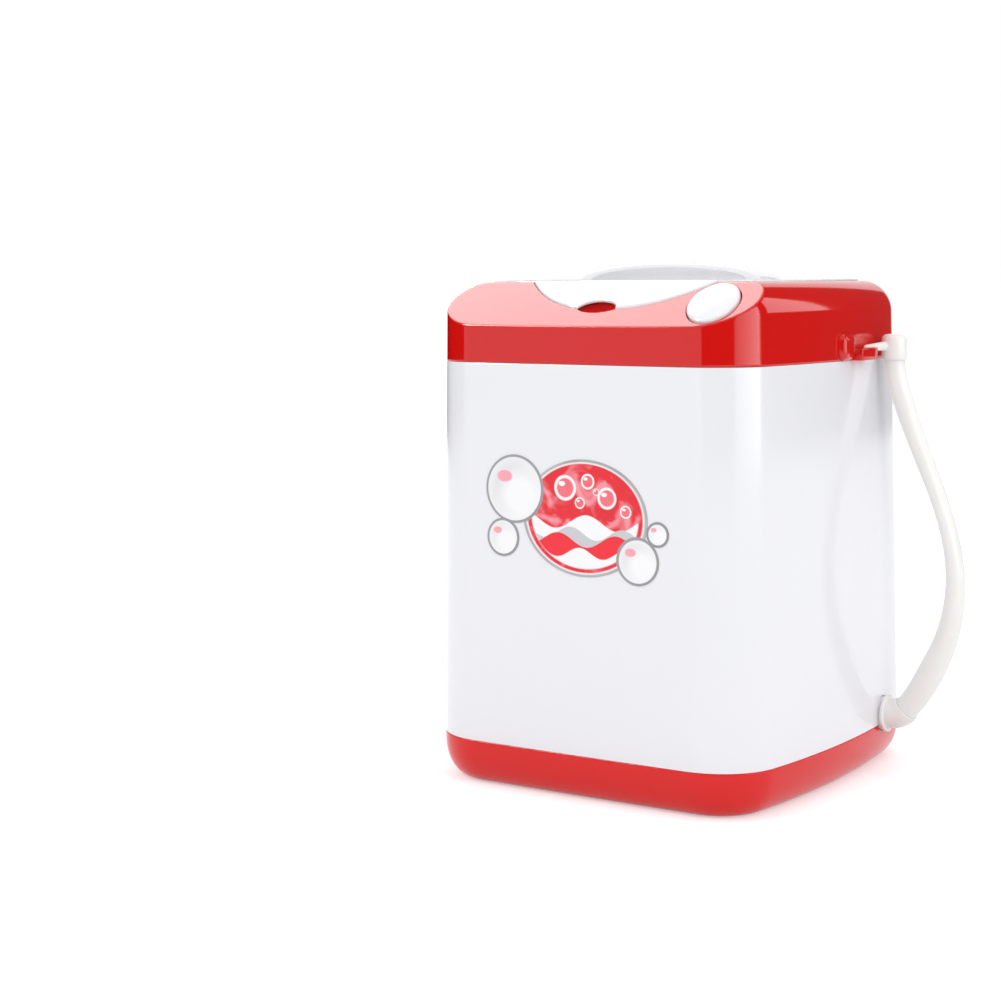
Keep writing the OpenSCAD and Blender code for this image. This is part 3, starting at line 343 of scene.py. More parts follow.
# The moulding's section in each upright plane through the tub's axis, run once round.
turns = spread(560)
reach = np.arange(20, 112, 0.05)
lip_at = out_to(turns, lambda x, y: in_lid(x, y, LID_GAP))
outer_part, sunk_part, ledge_part, under_part = 74, 9, 12, 34
section_rows = []
for turn, lip in zip(turns, lip_at):
    along_x, along_y = math.cos(turn), math.sin(turn)
    depth = inward(reach * along_x, TUB_Y + reach * along_y)
    edge = reach[np.argmax(depth < 0) - 1]

    def at_depth(d):
        return np.interp(d, depth[::-1][depth[::-1] >= -1], reach[::-1][depth[::-1] >= -1])

    def tops(r):
        return panel_at(TUB_Y + r * along_y)

    crest = console_top - TOP_ROUND
    foot = float(at_depth(DRAFT * SEAM_Z))
    wall_top = min(crest, float(tops(at_depth(DRAFT * panel_z))))
    heights = np.linspace(SEAM_Z, wall_top, 40)
    wall = np.column_stack([at_depth(DRAFT * heights), heights])
    sweep = np.linspace(0, math.pi / 2, 40)
    round_r = at_depth(DRAFT * crest + TOP_ROUND * (1 - np.cos(sweep)))
    round_z = crest + TOP_ROUND * np.sin(sweep)
    flat_r = np.linspace(round_r[-1], lip, 60)
    top_r = np.concatenate([round_r, flat_r])
    top_z = np.concatenate([round_z, np.full(60, console_top)])
    fine_r = np.sort(np.concatenate([top_r, np.linspace(wall[-1, 0], lip, 400)]))[::-1]
    fine_r = fine_r[(fine_r <= wall[-1, 0]) & (fine_r >= lip)]
    fine_z = np.minimum(np.interp(-fine_r, -top_r, top_z), tops(fine_r))
    outside = np.vstack([wall, np.column_stack([fine_r, fine_z])])
    sunk_z = min(deck_top, float(panel_at(TUB_Y + lip * along_y, -1.9)))
    ledge_r = np.linspace(lip, MOUTH_R, 40)
    ledge = np.column_stack([ledge_r, np.minimum(deck_top, panel_at(TUB_Y + ledge_r * along_y, -1.9))])
    under = np.column_stack([outside[::-1, 0] - WALL, outside[::-1, 1] - WALL])
    under = under[(under[:, 0] > lip + 1) & (under[:, 1] < sunk_z - WALL) | (under[:, 1] < crest - 1)]
    inner = np.vstack([[MOUTH_R, ledge[-1, 1]], [MOUTH_R, ledge[-1, 1] - 5.2],
                       [MOUTH_R + 5, ledge[-1, 1] - 5.2], [MOUTH_R + 5, ledge[-1, 1] - WALL],
                       [lip + 1.5, sunk_z - WALL], under, [foot - WALL, SEAM_Z], [foot, SEAM_Z]])
    parts = [outside, np.array([[lip, outside[-1, 1]], [lip, sunk_z]]), ledge, inner]
    dense = [even_out(p, 0.12) for p in parts]
    counts = np.cumsum([0] + [len(p) - 1 for p in dense])
    whole = soften(np.vstack([p[:-1] for p in dense]), 3)
    whole = np.vstack([whole, whole[:1]])
    row = []
    for k, amount in enumerate((outer_part, sunk_part, ledge_part, under_part)):
        row.append(pick(whole[counts[k]:counts[k + 1] + 1], amount + 1)[:-1])
    row = np.vstack(row)
    section_rows.append(np.column_stack([row[:, 0] * along_x, TUB_Y + row[:, 0] * along_y, row[:, 1]]))
console = make_piece("console", np.vstack(section_rows),
                     lattice(len(turns), len(section_rows[0]), close_rows=True))


def on_panel(x, s):
    """Place on the sloped panel, x across and s up the slope, with Z square to it, in metres."""
    return (Matrix.Translation(Vector((x, panel_y, panel_z)) * MM) @ Matrix.Rotation(SLOPE, 4, "X")
            @ Matrix.Translation((0, s * MM, 0)))


def oval_loops(rx, ry, steps, levels, lean=0.0, power=2.0):
    """Loops of an oval that grows by the first of each level's numbers, at the height of the second."""
    t = np.linspace(0, 2 * math.pi, steps, endpoint=False)
    cx = np.sign(np.cos(t)) * np.abs(np.cos(t)) ** (2 / power)
    cy = np.sign(np.sin(t)) * np.abs(np.sin(t)) ** (2 / power)
    loops = []
    for grow, z in levels:
        x, y = (rx + grow) * cx, (ry + grow) * cy
        loops.append(np.column_stack([x * math.cos(lean) - y * math.sin(lean),
                                      x * math.sin(lean) + y * math.cos(lean), np.full(steps, z)]))
    return loops


def round_out(low, high, r, steps=5):
    """Levels of a hole's cutter that flares over a rounded edge of radius r at height high."""
    bend = np.linspace(0, math.radians(70), steps)
    return ([(0, low), (0, high - r)] + [(r * (1 - math.cos(a)), high - r + r * math.sin(a)) for a in bend[1:]]
            + [(r * 0.95 + 0.6, high + 0.45), (r + 1.5, high + 2.5)])


BUTTON_X, BUTTON_S, BUTTON_RX, BUTTON_RY = 48.5, 16.8, 9.4, 13.6
BUTTON_LEAN = math.radians(12)
well = rings("well", oval_loops(BUTTON_RX + FREE_GAP, BUTTON_RY + FREE_GAP, 120,
                                round_out(-14, 0, 0.45), BUTTON_LEAN))
well.matrix_world = on_panel(BUTTON_X, BUTTON_S)
carve(console, well)

NOTCH_X, NOTCH_HALF, NOTCH_DEEP = 2.0, 8.1, 5.8
SCOOP_HALF, SCOOP_REACH, SCOOP_DEEP = 8.9, 5.15, 3.2
scoop_loops = [loop * [math.sin(a), math.sin(a), 1] - [0, 0, 0.35 + (SCOOP_DEEP - 0.3) * math.cos(a)]
               for a in np.radians(np.linspace(6, 88, 14))
               for loop in oval_loops(SCOOP_HALF, SCOOP_REACH, 96, [(0, 0)])]
scoop = rings("scoop", scoop_loops + oval_loops(SCOOP_HALF, SCOOP_REACH, 96, round_out(-0.35, 0, 0.35)[1:]))
scoop.matrix_world = on_panel(NOTCH_X, panel_len - TONGUE_LEN + 2.4)
carve(console, scoop)


def rod(name, start, end, r, sides=40, edge=0.0):
    """A round rod between two points in millimetres, its end edges rounded by edge."""
    start, end = np.array(start, float), np.array(end, float)
    length = np.linalg.norm(end - start)
    levels = [(0, 0), (0, length)] if not edge else [
        (-edge, 0), (-edge * 0.3, edge * 0.3), (0, edge), (0, length - edge),
        (-edge * 0.3, length - edge * 0.3), (-edge, length)]
    made = rings(name, oval_loops(r, r, sides, levels))
    aim = Vector(end - start).to_track_quat("Z", "Y").to_matrix().to_4x4()
    made.data.transform(Matrix.Translation(Vector(start) * MM) @ aim)
    return made


def block(name, low, high, edge=0.4, steps=3):
    """A box between two corners in millimetres, with all its edges rounded."""
    low, high = np.array(low, float), np.array(high, float)
    made = make_piece(name, [(x, y, z) for x in (low[0], high[0]) for y in (low[1], high[1])
                             for z in (low[2], high[2])],
                      [(0, 1, 3, 2), (4, 6, 7, 5), (0, 4, 5, 1), (2, 3, 7, 6), (0, 2, 6, 4), (1, 5, 7, 3)])
    if edge:
        round_edges(made, edge, steps)
    return made


def round_edges(part, width, steps=3, angle=30):
    """Rounds a part's edges that are sharper than an angle, and keeps the result as its mesh."""
    change = part.modifiers.new("edges", "BEVEL")
    change.width, change.segments, change.limit_method = width * MM, steps, "ANGLE"
    change.angle_limit = math.radians(angle)
    whole = part.evaluated_get(bpy.context.evaluated_depsgraph_get())
    mesh = bpy.data.meshes.new_from_object(whole)
    part.modifiers.clear()
    part.data = mesh


trough = rod("trough", (-ear_x, HINGE_Y, hinge_z), (ear_x, HINGE_Y, hinge_z), BARREL_R + FREE_GAP)
carve(console, trough)
carve(console, block("swing_room", (-ear_x, HINGE_Y, hinge_z),
                     (ear_x, HINGE_Y + BARREL_R + 2 * FREE_GAP + 0.4, 200), edge=0))

CLIP_Y = (-3.4, 7.2)
CRADLE_Y = (7.0, 20.0)
DRAIN_Y = 36.0


def side_at(y, z):
    """Distance of the right wall from the middle plane."""
    return side_c + math.sqrt(side_r ** 2 - y ** 2) - DRAFT * z


clip_x = side_at(0, SEAM_Z) + 2.5
tongue_x = side_at(DRAIN_Y, SEAM_Z) + 4.4
tongue_z, TONGUE_R = SEAM_Z + 4.6, 1.7
rib = block("rib", (corner_x + 20, CLIP_Y[0], SEAM_Z), (clip_x, CLIP_Y[1], SEAM_Z + 10.2), edge=2.8, steps=7)
carve(rib, block("below", (0, -40, 100), (100, 60, SEAM_Z + 0.02), edge=0))
cradle = block("cradle", (corner_x + 20, CRADLE_Y[0] - 1, SEAM_Z), (tongue_x + 2.6, CRADLE_Y[1], tongue_z),
               edge=0.5, steps=3)
carve(rib, cradle, "UNION")
carve(rib, rod("groove", (tongue_x, CRADLE_Y[0] - 1, tongue_z), (tongue_x, 60, tongue_z), TONGUE_R + FREE_GAP))
carve(console, rib, "UNION")
slot_x = side_at(DRAIN_Y, SEAM_Z) - 1.2
carve(console, block("hook_slot", (slot_x, DRAIN_Y - 7.5, SEAM_Z - 0.5), (slot_x + 6, DRAIN_Y - 1.5, SEAM_Z + 3.5),
                     edge=0))
finish_piece(console, red_plastic, "casing", "top_console")

# Sleeve: the white body wall, one open tube of glossy polystyrene with a slight lean inwards,
# trapped between the console and the base. It has the door opening behind and the drain hole.
BASE_H = 16.7
DRAIN_Z, SOCKET_R = 20.5, 6.4
DOOR_W, DOOR_H, DOOR_T = 62.0, 38.0, 3.0
door_low = BASE_H + 1.8
EDGE = 0.3
white_plastic = moulded("white_plastic", colour(241, 241, 244), colour(236, 236, 240), 0.10)


def outline(inset, per_corner=26, per_side=40, per_front=48):
    """The body's plan outline, moved inwards by inset."""
    def arc(cx, cy, r, start, end, steps):
        turn = np.linspace(start, end, steps, endpoint=False)
        return np.column_stack([cx + r * np.cos(turn), cy + r * np.sin(turn)])
    quarter = math.pi / 2
    return np.vstack([
        arc(side_c, 0, side_r - inset, -side_turn, side_turn, per_side),
        arc(corner_x, corner_y, CORNER_R - inset, side_turn, quarter - front_turn, per_corner),
        arc(0, front_c, front_r - inset, quarter - front_turn, quarter + front_turn, per_front),
        arc(-corner_x, corner_y, CORNER_R - inset, quarter + front_turn, 2 * quarter - side_turn, per_corner),
        arc(-side_c, 0, side_r - inset, 2 * quarter - side_turn, 2 * quarter + side_turn, per_side),
        arc(-corner_x, -corner_y, CORNER_R - inset, 2 * quarter + side_turn, 3 * quarter - front_turn, per_corner),
        arc(0, -front_c, front_r - inset, 3 * quarter - front_turn, 3 * quarter + front_turn, per_front),
        arc(corner_x, -corner_y, CORNER_R - inset, 3 * quarter + front_turn, 4 * quarter - side_turn, per_corner)])


def hoop(name, levels):
    """A closed tube of the body's outline through levels of (inset, height), back to the first."""
    loops = [np.column_stack([outline(inset), np.full(len(outline(inset)), z)]) for inset, z in levels]
    return make_piece(name, np.vstack(loops), lattice(len(levels), len(loops[0]), close_rows=True))


def tube_levels(low, high, steps):
    """Levels of a wall between two heights, with rounded outer edges and the inside behind it."""
    quarter = [math.radians(a) for a in (0, 22.5, 45, 67.5, 90)]
    levels = [(DRAFT * low + EDGE * (1 - math.sin(a)), low + EDGE * (1 - math.cos(a))) for a in quarter]
    levels += [(DRAFT * z, z) for z in np.linspace(low + EDGE, high - EDGE, steps)[1:-1]]
    levels += [(DRAFT * high + EDGE * (1 - math.cos(a)), high - EDGE * (1 - math.sin(a))) for a in quarter]
    return levels + [(DRAFT * high + WALL, high), (DRAFT * (low + high) / 2 + WALL, (low + high) / 2),
                     (DRAFT * low + WALL, low)]


sleeve = hoop("sleeve", tube_levels(BASE_H, SEAM_Z, 16))
carve(sleeve, rod("drain_hole", (60, DRAIN_Y, DRAIN_Z), (90, DRAIN_Y, DRAIN_Z), SOCKET_R + FREE_GAP, 72))
door_y = front_y - DRAFT * door_low
carve(sleeve, block("door_hole", (-DOOR_W / 2 - FREE_GAP, door_y - DOOR_T - 1, door_low - FREE_GAP),
                    (DOOR_W / 2 + FREE_GAP, door_y + 5, door_low + DOOR_H + FREE_GAP), edge=1.2, steps=4))
finish_piece(sleeve, white_plastic, "casing", "outer_shell")

# Base: the red tray that the sleeve stands in, moulded in the same glossy ABS as the console. Its
# lower edge rolls under to a flat rest face with four screw wells, and it holds the battery box.
BASE_ROUND_H, BASE_ROUND_IN = 14.0, 9.4
CELL_R, CELL_LEN = 7.1, 50.0
SCREW_R, SCREW_HEAD_R = 1.4, 2.8
SCREW_X, SCREW_Y, SCREW_WELL = corner_x + 8.4, corner_y + 7.7, 8.0
battery_y = front_y - 11.4
cell_z = (25.5, 25.5 + 2 * CELL_R + 0.8)
box_low, box_high = cell_z[0] - CELL_R - 1, cell_z[1] + CELL_R + 1
box_half, box_front = CELL_LEN / 2 + 3, battery_y - CELL_R - 1
door_screw_z = box_high + 3


def tray_levels(inset, high, steps):
    """Levels of the rolled lower edge, from the rest face up to a height."""
    levels = [(inset + DRAFT * BASE_H + BASE_ROUND_IN * (1 - math.sin(a)),
               (BASE_ROUND_H - inset) * (1 - math.cos(a)) + inset)
              for a in np.linspace(0, math.pi / 2, steps)]
    return levels + [(inset + DRAFT * high, high)]


quarter_turn = [math.radians(a) for a in (22.5, 45, 67.5, 90)]
outer_levels = tray_levels(0, BASE_H - EDGE, 26)
outer_levels += [(DRAFT * BASE_H + EDGE * (1 - math.cos(a)), BASE_H - EDGE * (1 - math.sin(a)))
                 for a in quarter_turn]
inner_levels = [(DRAFT * BASE_H + WALL, BASE_H)] + tray_levels(WALL, BASE_H - 1, 12)[::-1]
tray = hoop("tray", outer_levels + inner_levels)
plate_plan = outline(BASE_ROUND_IN + 0.14)
floor_plate = rings("floor_plate", [np.column_stack([plate_plan, np.full(len(plate_plan), z)]) for z in (0.0, WALL)])
carve(tray, floor_plate, "UNION")
for sx in (-1, 1):
    for sy in (-1, 1):
        carve(tray, rod("post", (sx * SCREW_X, sy * SCREW_Y, 1), (sx * SCREW_X, sy * SCREW_Y, BASE_H), 4.4), "UNION")
        carve(tray, rod("screw_well", (sx * SCREW_X, sy * SCREW_Y, -1),
                        (sx * SCREW_X, sy * SCREW_Y, SCREW_WELL), SCREW_HEAD_R + 0.4))
cell_box = block("cell_box", (-box_half - WALL, box_front - WALL, 1.1),
                 (box_half + WALL, front_y - DRAFT * BASE_H - WALL - 0.4, box_high + 0.9), edge=0.6)
within_roll = rings("within_roll", [np.column_stack([outline(inset), np.full(len(plate_plan), z)])
                                    for inset, z in tray_levels(WALL / 2, box_high + 5, 12)])
carve(cell_box, within_roll, "INTERSECT")
carve(tray, cell_box, "UNION")
carve(tray, block("cell_room", (-box_half, box_front, box_low), (box_half, 90, box_high), edge=0.5))
carve(tray, rod("drain_notch", (60, DRAIN_Y, DRAIN_Z), (90, DRAIN_Y, DRAIN_Z), SOCKET_R + FREE_GAP, 72))
# A lighter copy of the console's red: painted bounce light from the floor on the base.
base_red_painted_bounce = moulded("base_red_painted_bounce", colour(226, 20, 14), colour(216, 15, 10), 0.07, shine=0.34)
finish_piece(tray, base_red_painted_bounce, "casing", "base_tray")

# Lid: the white top, a moulded plate that lies flush in the console. Its tongue runs down the
# panel to a finger notch, a raised scoop stands over a finger dish, and it turns on two pegs behind.
HOOD_HALF, HOOD_H, HOOD_LEN, HOOD_LIP = 40.0, 6.4, 56.0, 5.0
DISH_DEEP, DISH_REACH, DISH_SKIN, LIP_SIDE, LIP_TOP = 5.0, 12.3, 1.8, 6.0, 1.7
DISH_Y, NICHE_LEN = -HOOD_LIP - 9.6, 4.5
PEG_R, PEG_LEN = 1.6, 3.6
lid_turns = spread(520)
lid_edge = out_to(lid_turns, lambda x, y: in_lid(x, y, 0))
lid_rows = []
for turn, edge in zip(lid_turns, lid_edge):
    r = np.linspace(0.4, edge, 300)
    y = TUB_Y + r * math.sin(turn)
    over = np.minimum(lid_top, panel_at(y, 0.5))
    below = np.minimum(hinge_z, panel_at(y, -1.7))
    line = np.vstack([np.column_stack([r, over]), np.column_stack([r, below])[::-1]])
    dense = even_out(line, 0.1)
    softened = soften(dense, 3)
    softened[:12], softened[-12:] = dense[:12], dense[-12:]
    row = pick(softened, 110, 1.4)
    lid_rows.append(np.column_stack([row[:, 0] * math.cos(turn), TUB_Y + row[:, 0] * math.sin(turn), row[:, 1]]))
lid_count = len(lid_rows[0])
lid_faces = lattice(len(lid_turns), lid_count, close_rows=True, close_columns=False)
lid_faces += [tuple(i * lid_count for i in range(len(lid_turns))),
              tuple((i + 1) * lid_count - 1 for i in range(len(lid_turns) - 1, -1, -1))]
lid = make_piece("lid_cover", np.vstack(lid_rows), lid_faces)


def vault(name, half, height, length, ahead, flare, foot):
    """Quarter of an egg standing on the lid from ahead of its lip, whose edge is pushed in or out by flare."""
    edge = ((0, 1.0), (0.05, 0.54), (0.12, 0.32), (0.25, 0.1), (0.45, 0.0))
    steps = [(-ahead, 1.0, 1.0)] if ahead else []
    steps += [(along, 1.0, push) for along, push in edge]
    steps += [(length * math.sin(t), math.cos(t), 0.0)
              for t in np.linspace(math.asin(0.9 / length), math.radians(86), 32)]
    arch = np.radians(np.linspace(0, 180, 97))
    loops = []
    for along, size, push in steps:
        x = -(half + flare * push) * np.cos(arch) * size
        z = lid_top + (height + flare * push) * np.sin(arch) * size
        z[0] = z[-1] = lid_top - foot
        loops.append(np.column_stack([x, np.full(97, along - HOOD_LIP), z]))
    return rings(name, loops)


def bowl(name, half, reach, deep, rim):
    """A dish below the lid's face, open upwards, with levels of (growth, height) for its rim."""
    turn = np.linspace(0, 2 * math.pi, 120, endpoint=False)
    levels = [(math.sin(t), math.sin(t), -deep * math.cos(t)) for t in np.radians(np.linspace(5, 66, 12))]
    levels += [(1 + grow, 1 + 2 * grow, z) for grow, z in rim]
    return rings(name, [np.column_stack([half * across * np.cos(turn), reach * along * np.sin(turn) + DISH_Y,
                                         np.full(120, lid_top + z)]) for across, along, z in levels])


DISH_RIM = ((-0.035, -1.4), (-0.01, -0.85), (0.012, -0.42), (0.034, -0.12), (0.06, 0.06), (0.08, 0.3))
carve(lid, bowl("dish_back", HOOD_HALF - LIP_SIDE + DISH_SKIN, DISH_REACH + DISH_SKIN, DISH_DEEP + DISH_SKIN,
                ((0, -1.0),)), "UNION")
carve(lid, bowl("dish", HOOD_HALF - LIP_SIDE, DISH_REACH, DISH_DEEP, DISH_RIM))
carve(lid, vault("hood", HOOD_HALF, HOOD_H, HOOD_LEN, 0, -0.5, 0.5), "UNION")
carve(lid, vault("hollow", HOOD_HALF - LIP_SIDE, HOOD_H - LIP_TOP, NICHE_LEN, 3.3, 0.4, 0.7))
barrel_end = ear_x - LID_GAP
carve(lid, rod("barrel", (-barrel_end, HINGE_Y, hinge_z), (barrel_end, HINGE_Y, hinge_z), BARREL_R, 48, 0.3), "UNION")
for sx in (-1, 1):
    carve(lid, rod("peg", (sx * (ear_x - 4), HINGE_Y, hinge_z), (sx * (ear_x + PEG_LEN), HINGE_Y, hinge_z),
                   PEG_R, 32, 0.3), "UNION")
notch = rings("notch", oval_loops(NOTCH_HALF, NOTCH_DEEP, 96, round_out(-8, 0.5, 0.45)))
notch_place = on_panel(NOTCH_X, panel_len - TONGUE_LEN - 0.2)
notch.matrix_world = notch_place
carve(lid, notch)
thinned = rings("thinned", oval_loops(NOTCH_HALF + 2.6, NOTCH_DEEP + 2.6, 96, [(0, -8), (0, -0.7), (-0.3, -0.4)]))
thinned.matrix_world = notch_place
carve(lid, thinned)
lid_plastic = moulded("lid_plastic", colour(240, 240, 242), colour(235, 235, 238), 0.10, soft=0.3)
finish_piece(lid, lid_plastic, "lid", "lid")

# Power button: a white domed oval that stands in its well in the panel. It is moulded in one with
# its skirt and stem, and springs back when the switch below latches.
BUTTON_RIM, BUTTON_CROWN, BUTTON_SKIRT = 0.9, 1.9, 4.3 + FREE_GAP
dome = [(-0.25, -BUTTON_SKIRT), (0, -BUTTON_SKIRT + 0.25), (0, -1.0), (0, 0.3)]
button_loops = oval_loops(BUTTON_RX, BUTTON_RY, 120, dome, BUTTON_LEAN)
for a in np.radians(np.linspace(0, 88, 26)):
    button_loops += [loop * [math.cos(a), math.cos(a), 0] + [0, 0, BUTTON_RIM - 0.35 + (BUTTON_CROWN + 0.35) * math.sin(a)]
                     for loop in oval_loops(BUTTON_RX, BUTTON_RY, 120, [(0, 0)], BUTTON_LEAN)]
button = rings("button_cap", button_loops)
stem = rod("stem", (0, 0, -18), (0, 0, -3), 2.4, 48, 0.3)
carve(button, stem, "UNION")
hooks = block("hooks", (-BUTTON_RX - 1, -2, -BUTTON_SKIRT - 1.2), (BUTTON_RX + 1, 2, -BUTTON_SKIRT + 0.6), edge=0.3)
hooks.data.transform(Matrix.Rotation(BUTTON_LEAN, 4, "Z"))
carve(button, hooks, "UNION")
button.data.transform(on_panel(BUTTON_X, BUTTON_S))
finish_piece(button, lid_plastic, "power_button", "power_button")

# Drain hose: a blow-moulded ivory tube that swings up from an elbow in the drain socket, bows out
# and ends in a plug whose tongue clips under the bracket. Soft plastic, lit a little from within.
SPIGOT_R, HOSE_DEPTH, CAP_R = 4.0, 4.3, 4.8
elbow_x = side_at(DRAIN_Y - SOCKET_R, DRAIN_Z) + 0.7
pipe_end_x = side_at(DRAIN_Y, DRAIN_Z) - 9
hose_start = (elbow_x + 8.2, DRAIN_Z + 2.6)
cap_x, cap_low = tongue_x + 2.2, SEAM_Z - 0.8
cap_top = cap_low + 10
HOSE_BOW = ((12.24, 0.0444, 4.9), (17.94, 0.1159, 5.1), (23.44, 0.2024, 4.6), (26.44, 0.2852, 4.1),
            (27.64, 0.3679, 3.7), (26.84, 0.4507, 3.4), (24.44, 0.5335, 3.2), (20.84, 0.6163, 3.2),
            (16.44, 0.699, 3.4), (11.94, 0.7818, 3.6), (7.94, 0.8646, 3.9), (4.84, 0.9398, 4))
rise = cap_low - hose_start[1]
hose_route = np.array([(*hose_start, 4.6)] + [(side_c + side_r + out, hose_start[1] + share * rise, half)
                                              for out, share, half in HOSE_BOW] + [(cap_x, cap_low, 4)])


def curve_through(path, steps):
    """A smooth curve through the points of a path."""
    line = []
    for i in range(len(path) - 1):
        a, b = path[max(i - 1, 0)], path[i]
        c, d = path[i + 1], path[min(i + 2, len(path) - 1)]
        for t in np.arange(steps) / steps:
            line.append(0.5 * (2 * b + (c - a) * t + (2 * a - 5 * b + 4 * c - d) * t ** 2
                               + (3 * b - a - 3 * c + d) * t ** 3))
    return np.array(line + [path[-1]])


def ivory_plastic():
    """Soft polythene: milky, waxy, cloudier along its length, with a fine drawn grain."""
    material, tool, place, surface = start_material("ivory_hose")
    along = tool.add("ShaderNodeMapping", None, {"Vector": place, "Scale": (240.0, 240.0, 30.0)})
    drawn = tool.add("ShaderNodeTexNoise", None, {"Vector": along, "Scale": 1.0, "Detail": 3.0})
    cloud = tool.add("ShaderNodeTexNoise", None, {"Vector": place, "Scale": 45.0, "Detail": 3.0})
    grain = tool.add("ShaderNodeTexNoise", None, {"Vector": place, "Scale": 1500.0, "Detail": 2.0})
    bump = tool.add("ShaderNodeBump", None, {"Strength": 0.4, "Distance": 0.00005, "Height": drawn + 0.15 * grain})
    feed(surface, Base_Color=(0.6 * cloud + 0.2).mix(colour(238, 236, 231), colour(248, 247, 244)),
         Roughness=0.26 + 0.14 * drawn + 0.05 * grain, Normal=bump, IOR=1.5, Subsurface_Weight=0.35,
         Subsurface_Radius=(0.004, 0.0035, 0.0025), Subsurface_Scale=1.0)
    return material


ivory_hose = ivory_plastic()
route = curve_through(hose_route, 16)
centre = np.column_stack([route[:, 0], np.full(len(route), DRAIN_Y), route[:, 1]])
ahead = np.gradient(centre, axis=0)
ahead /= np.linalg.norm(ahead, axis=1)[:, None]
ahead[0], ahead[-1] = (math.sqrt(0.5), 0, math.sqrt(0.5)), (0, 0, 1)
across = np.cross(np.array([0, 1, 0]), ahead)
around = np.linspace(0, 2 * math.pi, 56, endpoint=False)
seam_line = 0.14 * np.exp(-((np.abs(np.sin(around))) / 0.07) ** 2)
hose_loops = []
for point, side, size in zip(centre, across, route[:, 2]):
    reach_out = np.cos(around) * (size - 0.14 + seam_line)
    hose_loops.append(point + reach_out[:, None] * side
                      + (np.sin(around) * HOSE_DEPTH)[:, None] * np.array([0, 1, 0]))
hose = rings("hose_tube", hose_loops)
finish_piece(hose, ivory_hose, "drain_hose", "drain_hose")

turn_r = (hose_start[1] - DRAIN_Z) / (1 - math.cos(math.pi / 4))
turn_x = hose_start[0] - turn_r * math.sin(math.pi / 4)
elbow_loops = []
ring_y, ring_z = np.cos(around), np.sin(around)
for x, r in ((pipe_end_x + 2, 3.7), (pipe_end_x + 2.3, SPIGOT_R), (elbow_x, SPIGOT_R), (elbow_x, 6.5), (elbow_x + 0.3, 6.8),
             (elbow_x + 1.2, 6.8), (elbow_x + 1.5, 6.5), (elbow_x + 1.5, 5.4)):
    elbow_loops.append(np.column_stack([np.full(56, x), DRAIN_Y + r * ring_y, DRAIN_Z + r * ring_z]))
for a in np.radians(np.linspace(2, 45, 16)):
    if turn_x + turn_r * math.sin(a) < elbow_x + 1.6:
        continue
    elbow_loops.append(np.column_stack([turn_x + turn_r * math.sin(a) - 5.4 * math.sin(a) * ring_z,
                                        DRAIN_Y + 5.4 * ring_y,
                                        DRAIN_Z + turn_r * (1 - math.cos(a)) + 5.4 * math.cos(a) * ring_z]))
last = elbow_loops[-1]
middle = last.mean(axis=0)
elbow_loops += [middle + (last - middle) * 0.97 + np.array([0.1, 0, 0.1]), middle + (last - middle) * 0.86]
elbow = rings("elbow", elbow_loops)
finish_piece(elbow, ivory_hose, "drain_hose", "hose_elbow")

cap_profile = [(CAP_R - 0.4, cap_low), (CAP_R - 0.1, cap_low + 0.2), (CAP_R, cap_low + 0.6), (CAP_R, cap_top - 2.4),
               (CAP_R - 0.2, cap_top - 1.6), (CAP_R - 0.5, cap_top - 1), (CAP_R - 1, cap_top - 0.5),
               (CAP_R - 1.8, cap_top - 0.15), (CAP_R - 3, cap_top), (0.3, cap_top)]
cap = rings("hose_plug", [np.column_stack([cap_x + r * ring_y, DRAIN_Y + r * ring_z, np.full(56, z)])
                          for r, z in cap_profile])
tongue_end = CRADLE_Y[0] + 7
tongue_loops = []
for share, r in ((0, TONGUE_R), (0.15, TONGUE_R), (0.45, 1.42), (0.8, 1.1), (0.95, 0.95), (0.985, 0.8), (1, 0.5)):
    tongue_loops.append(np.column_stack([cap_x - 2.2 + r * ring_y,
                                         np.full(56, (DRAIN_Y - 3) * (1 - share) + tongue_end * share),
                                         tongue_z + r * ring_z]))
carve(cap, rings("hook", tongue_loops), "UNION")
finish_piece(cap, ivory_hose, "drain_hose", "hose_cap")

# Drain socket: the white ring pressed in the body's hole that the elbow turns in.
socket = rings("socket", [np.column_stack([np.full(56, x), DRAIN_Y + r * ring_y, DRAIN_Z + r * ring_z])
                          for x, r in ((pipe_end_x, SOCKET_R - 1), (elbow_x - 2.9, SOCKET_R - 1),
                                       (elbow_x - 2.9, SOCKET_R), (elbow_x - 0.5, SOCKET_R),
                                       (elbow_x - 0.3, SOCKET_R - 0.2))])
carve(socket, rod("socket_bore", (pipe_end_x - 1, DRAIN_Y, DRAIN_Z), (elbow_x + 1, DRAIN_Y, DRAIN_Z), SPIGOT_R + 0.06, 56))
finish_piece(socket, white_plastic, "casing", "drain_socket")

# Label: a die-cut glossy vinyl sticker, screen printed in red, white and silver grey: an oval
# wash scene of waves and suds, and four soap bubbles that overhang it.
LABEL_X, LABEL_Z, OVAL_RX, OVAL_RZ, LABEL_T = 4.0, 102.0, 26.0, 21.0, 0.25
BUBBLES = ((-26, 9, 12.5), (-31, -9, 7), (26, -14, 8.5), (34, -4, 4.5))


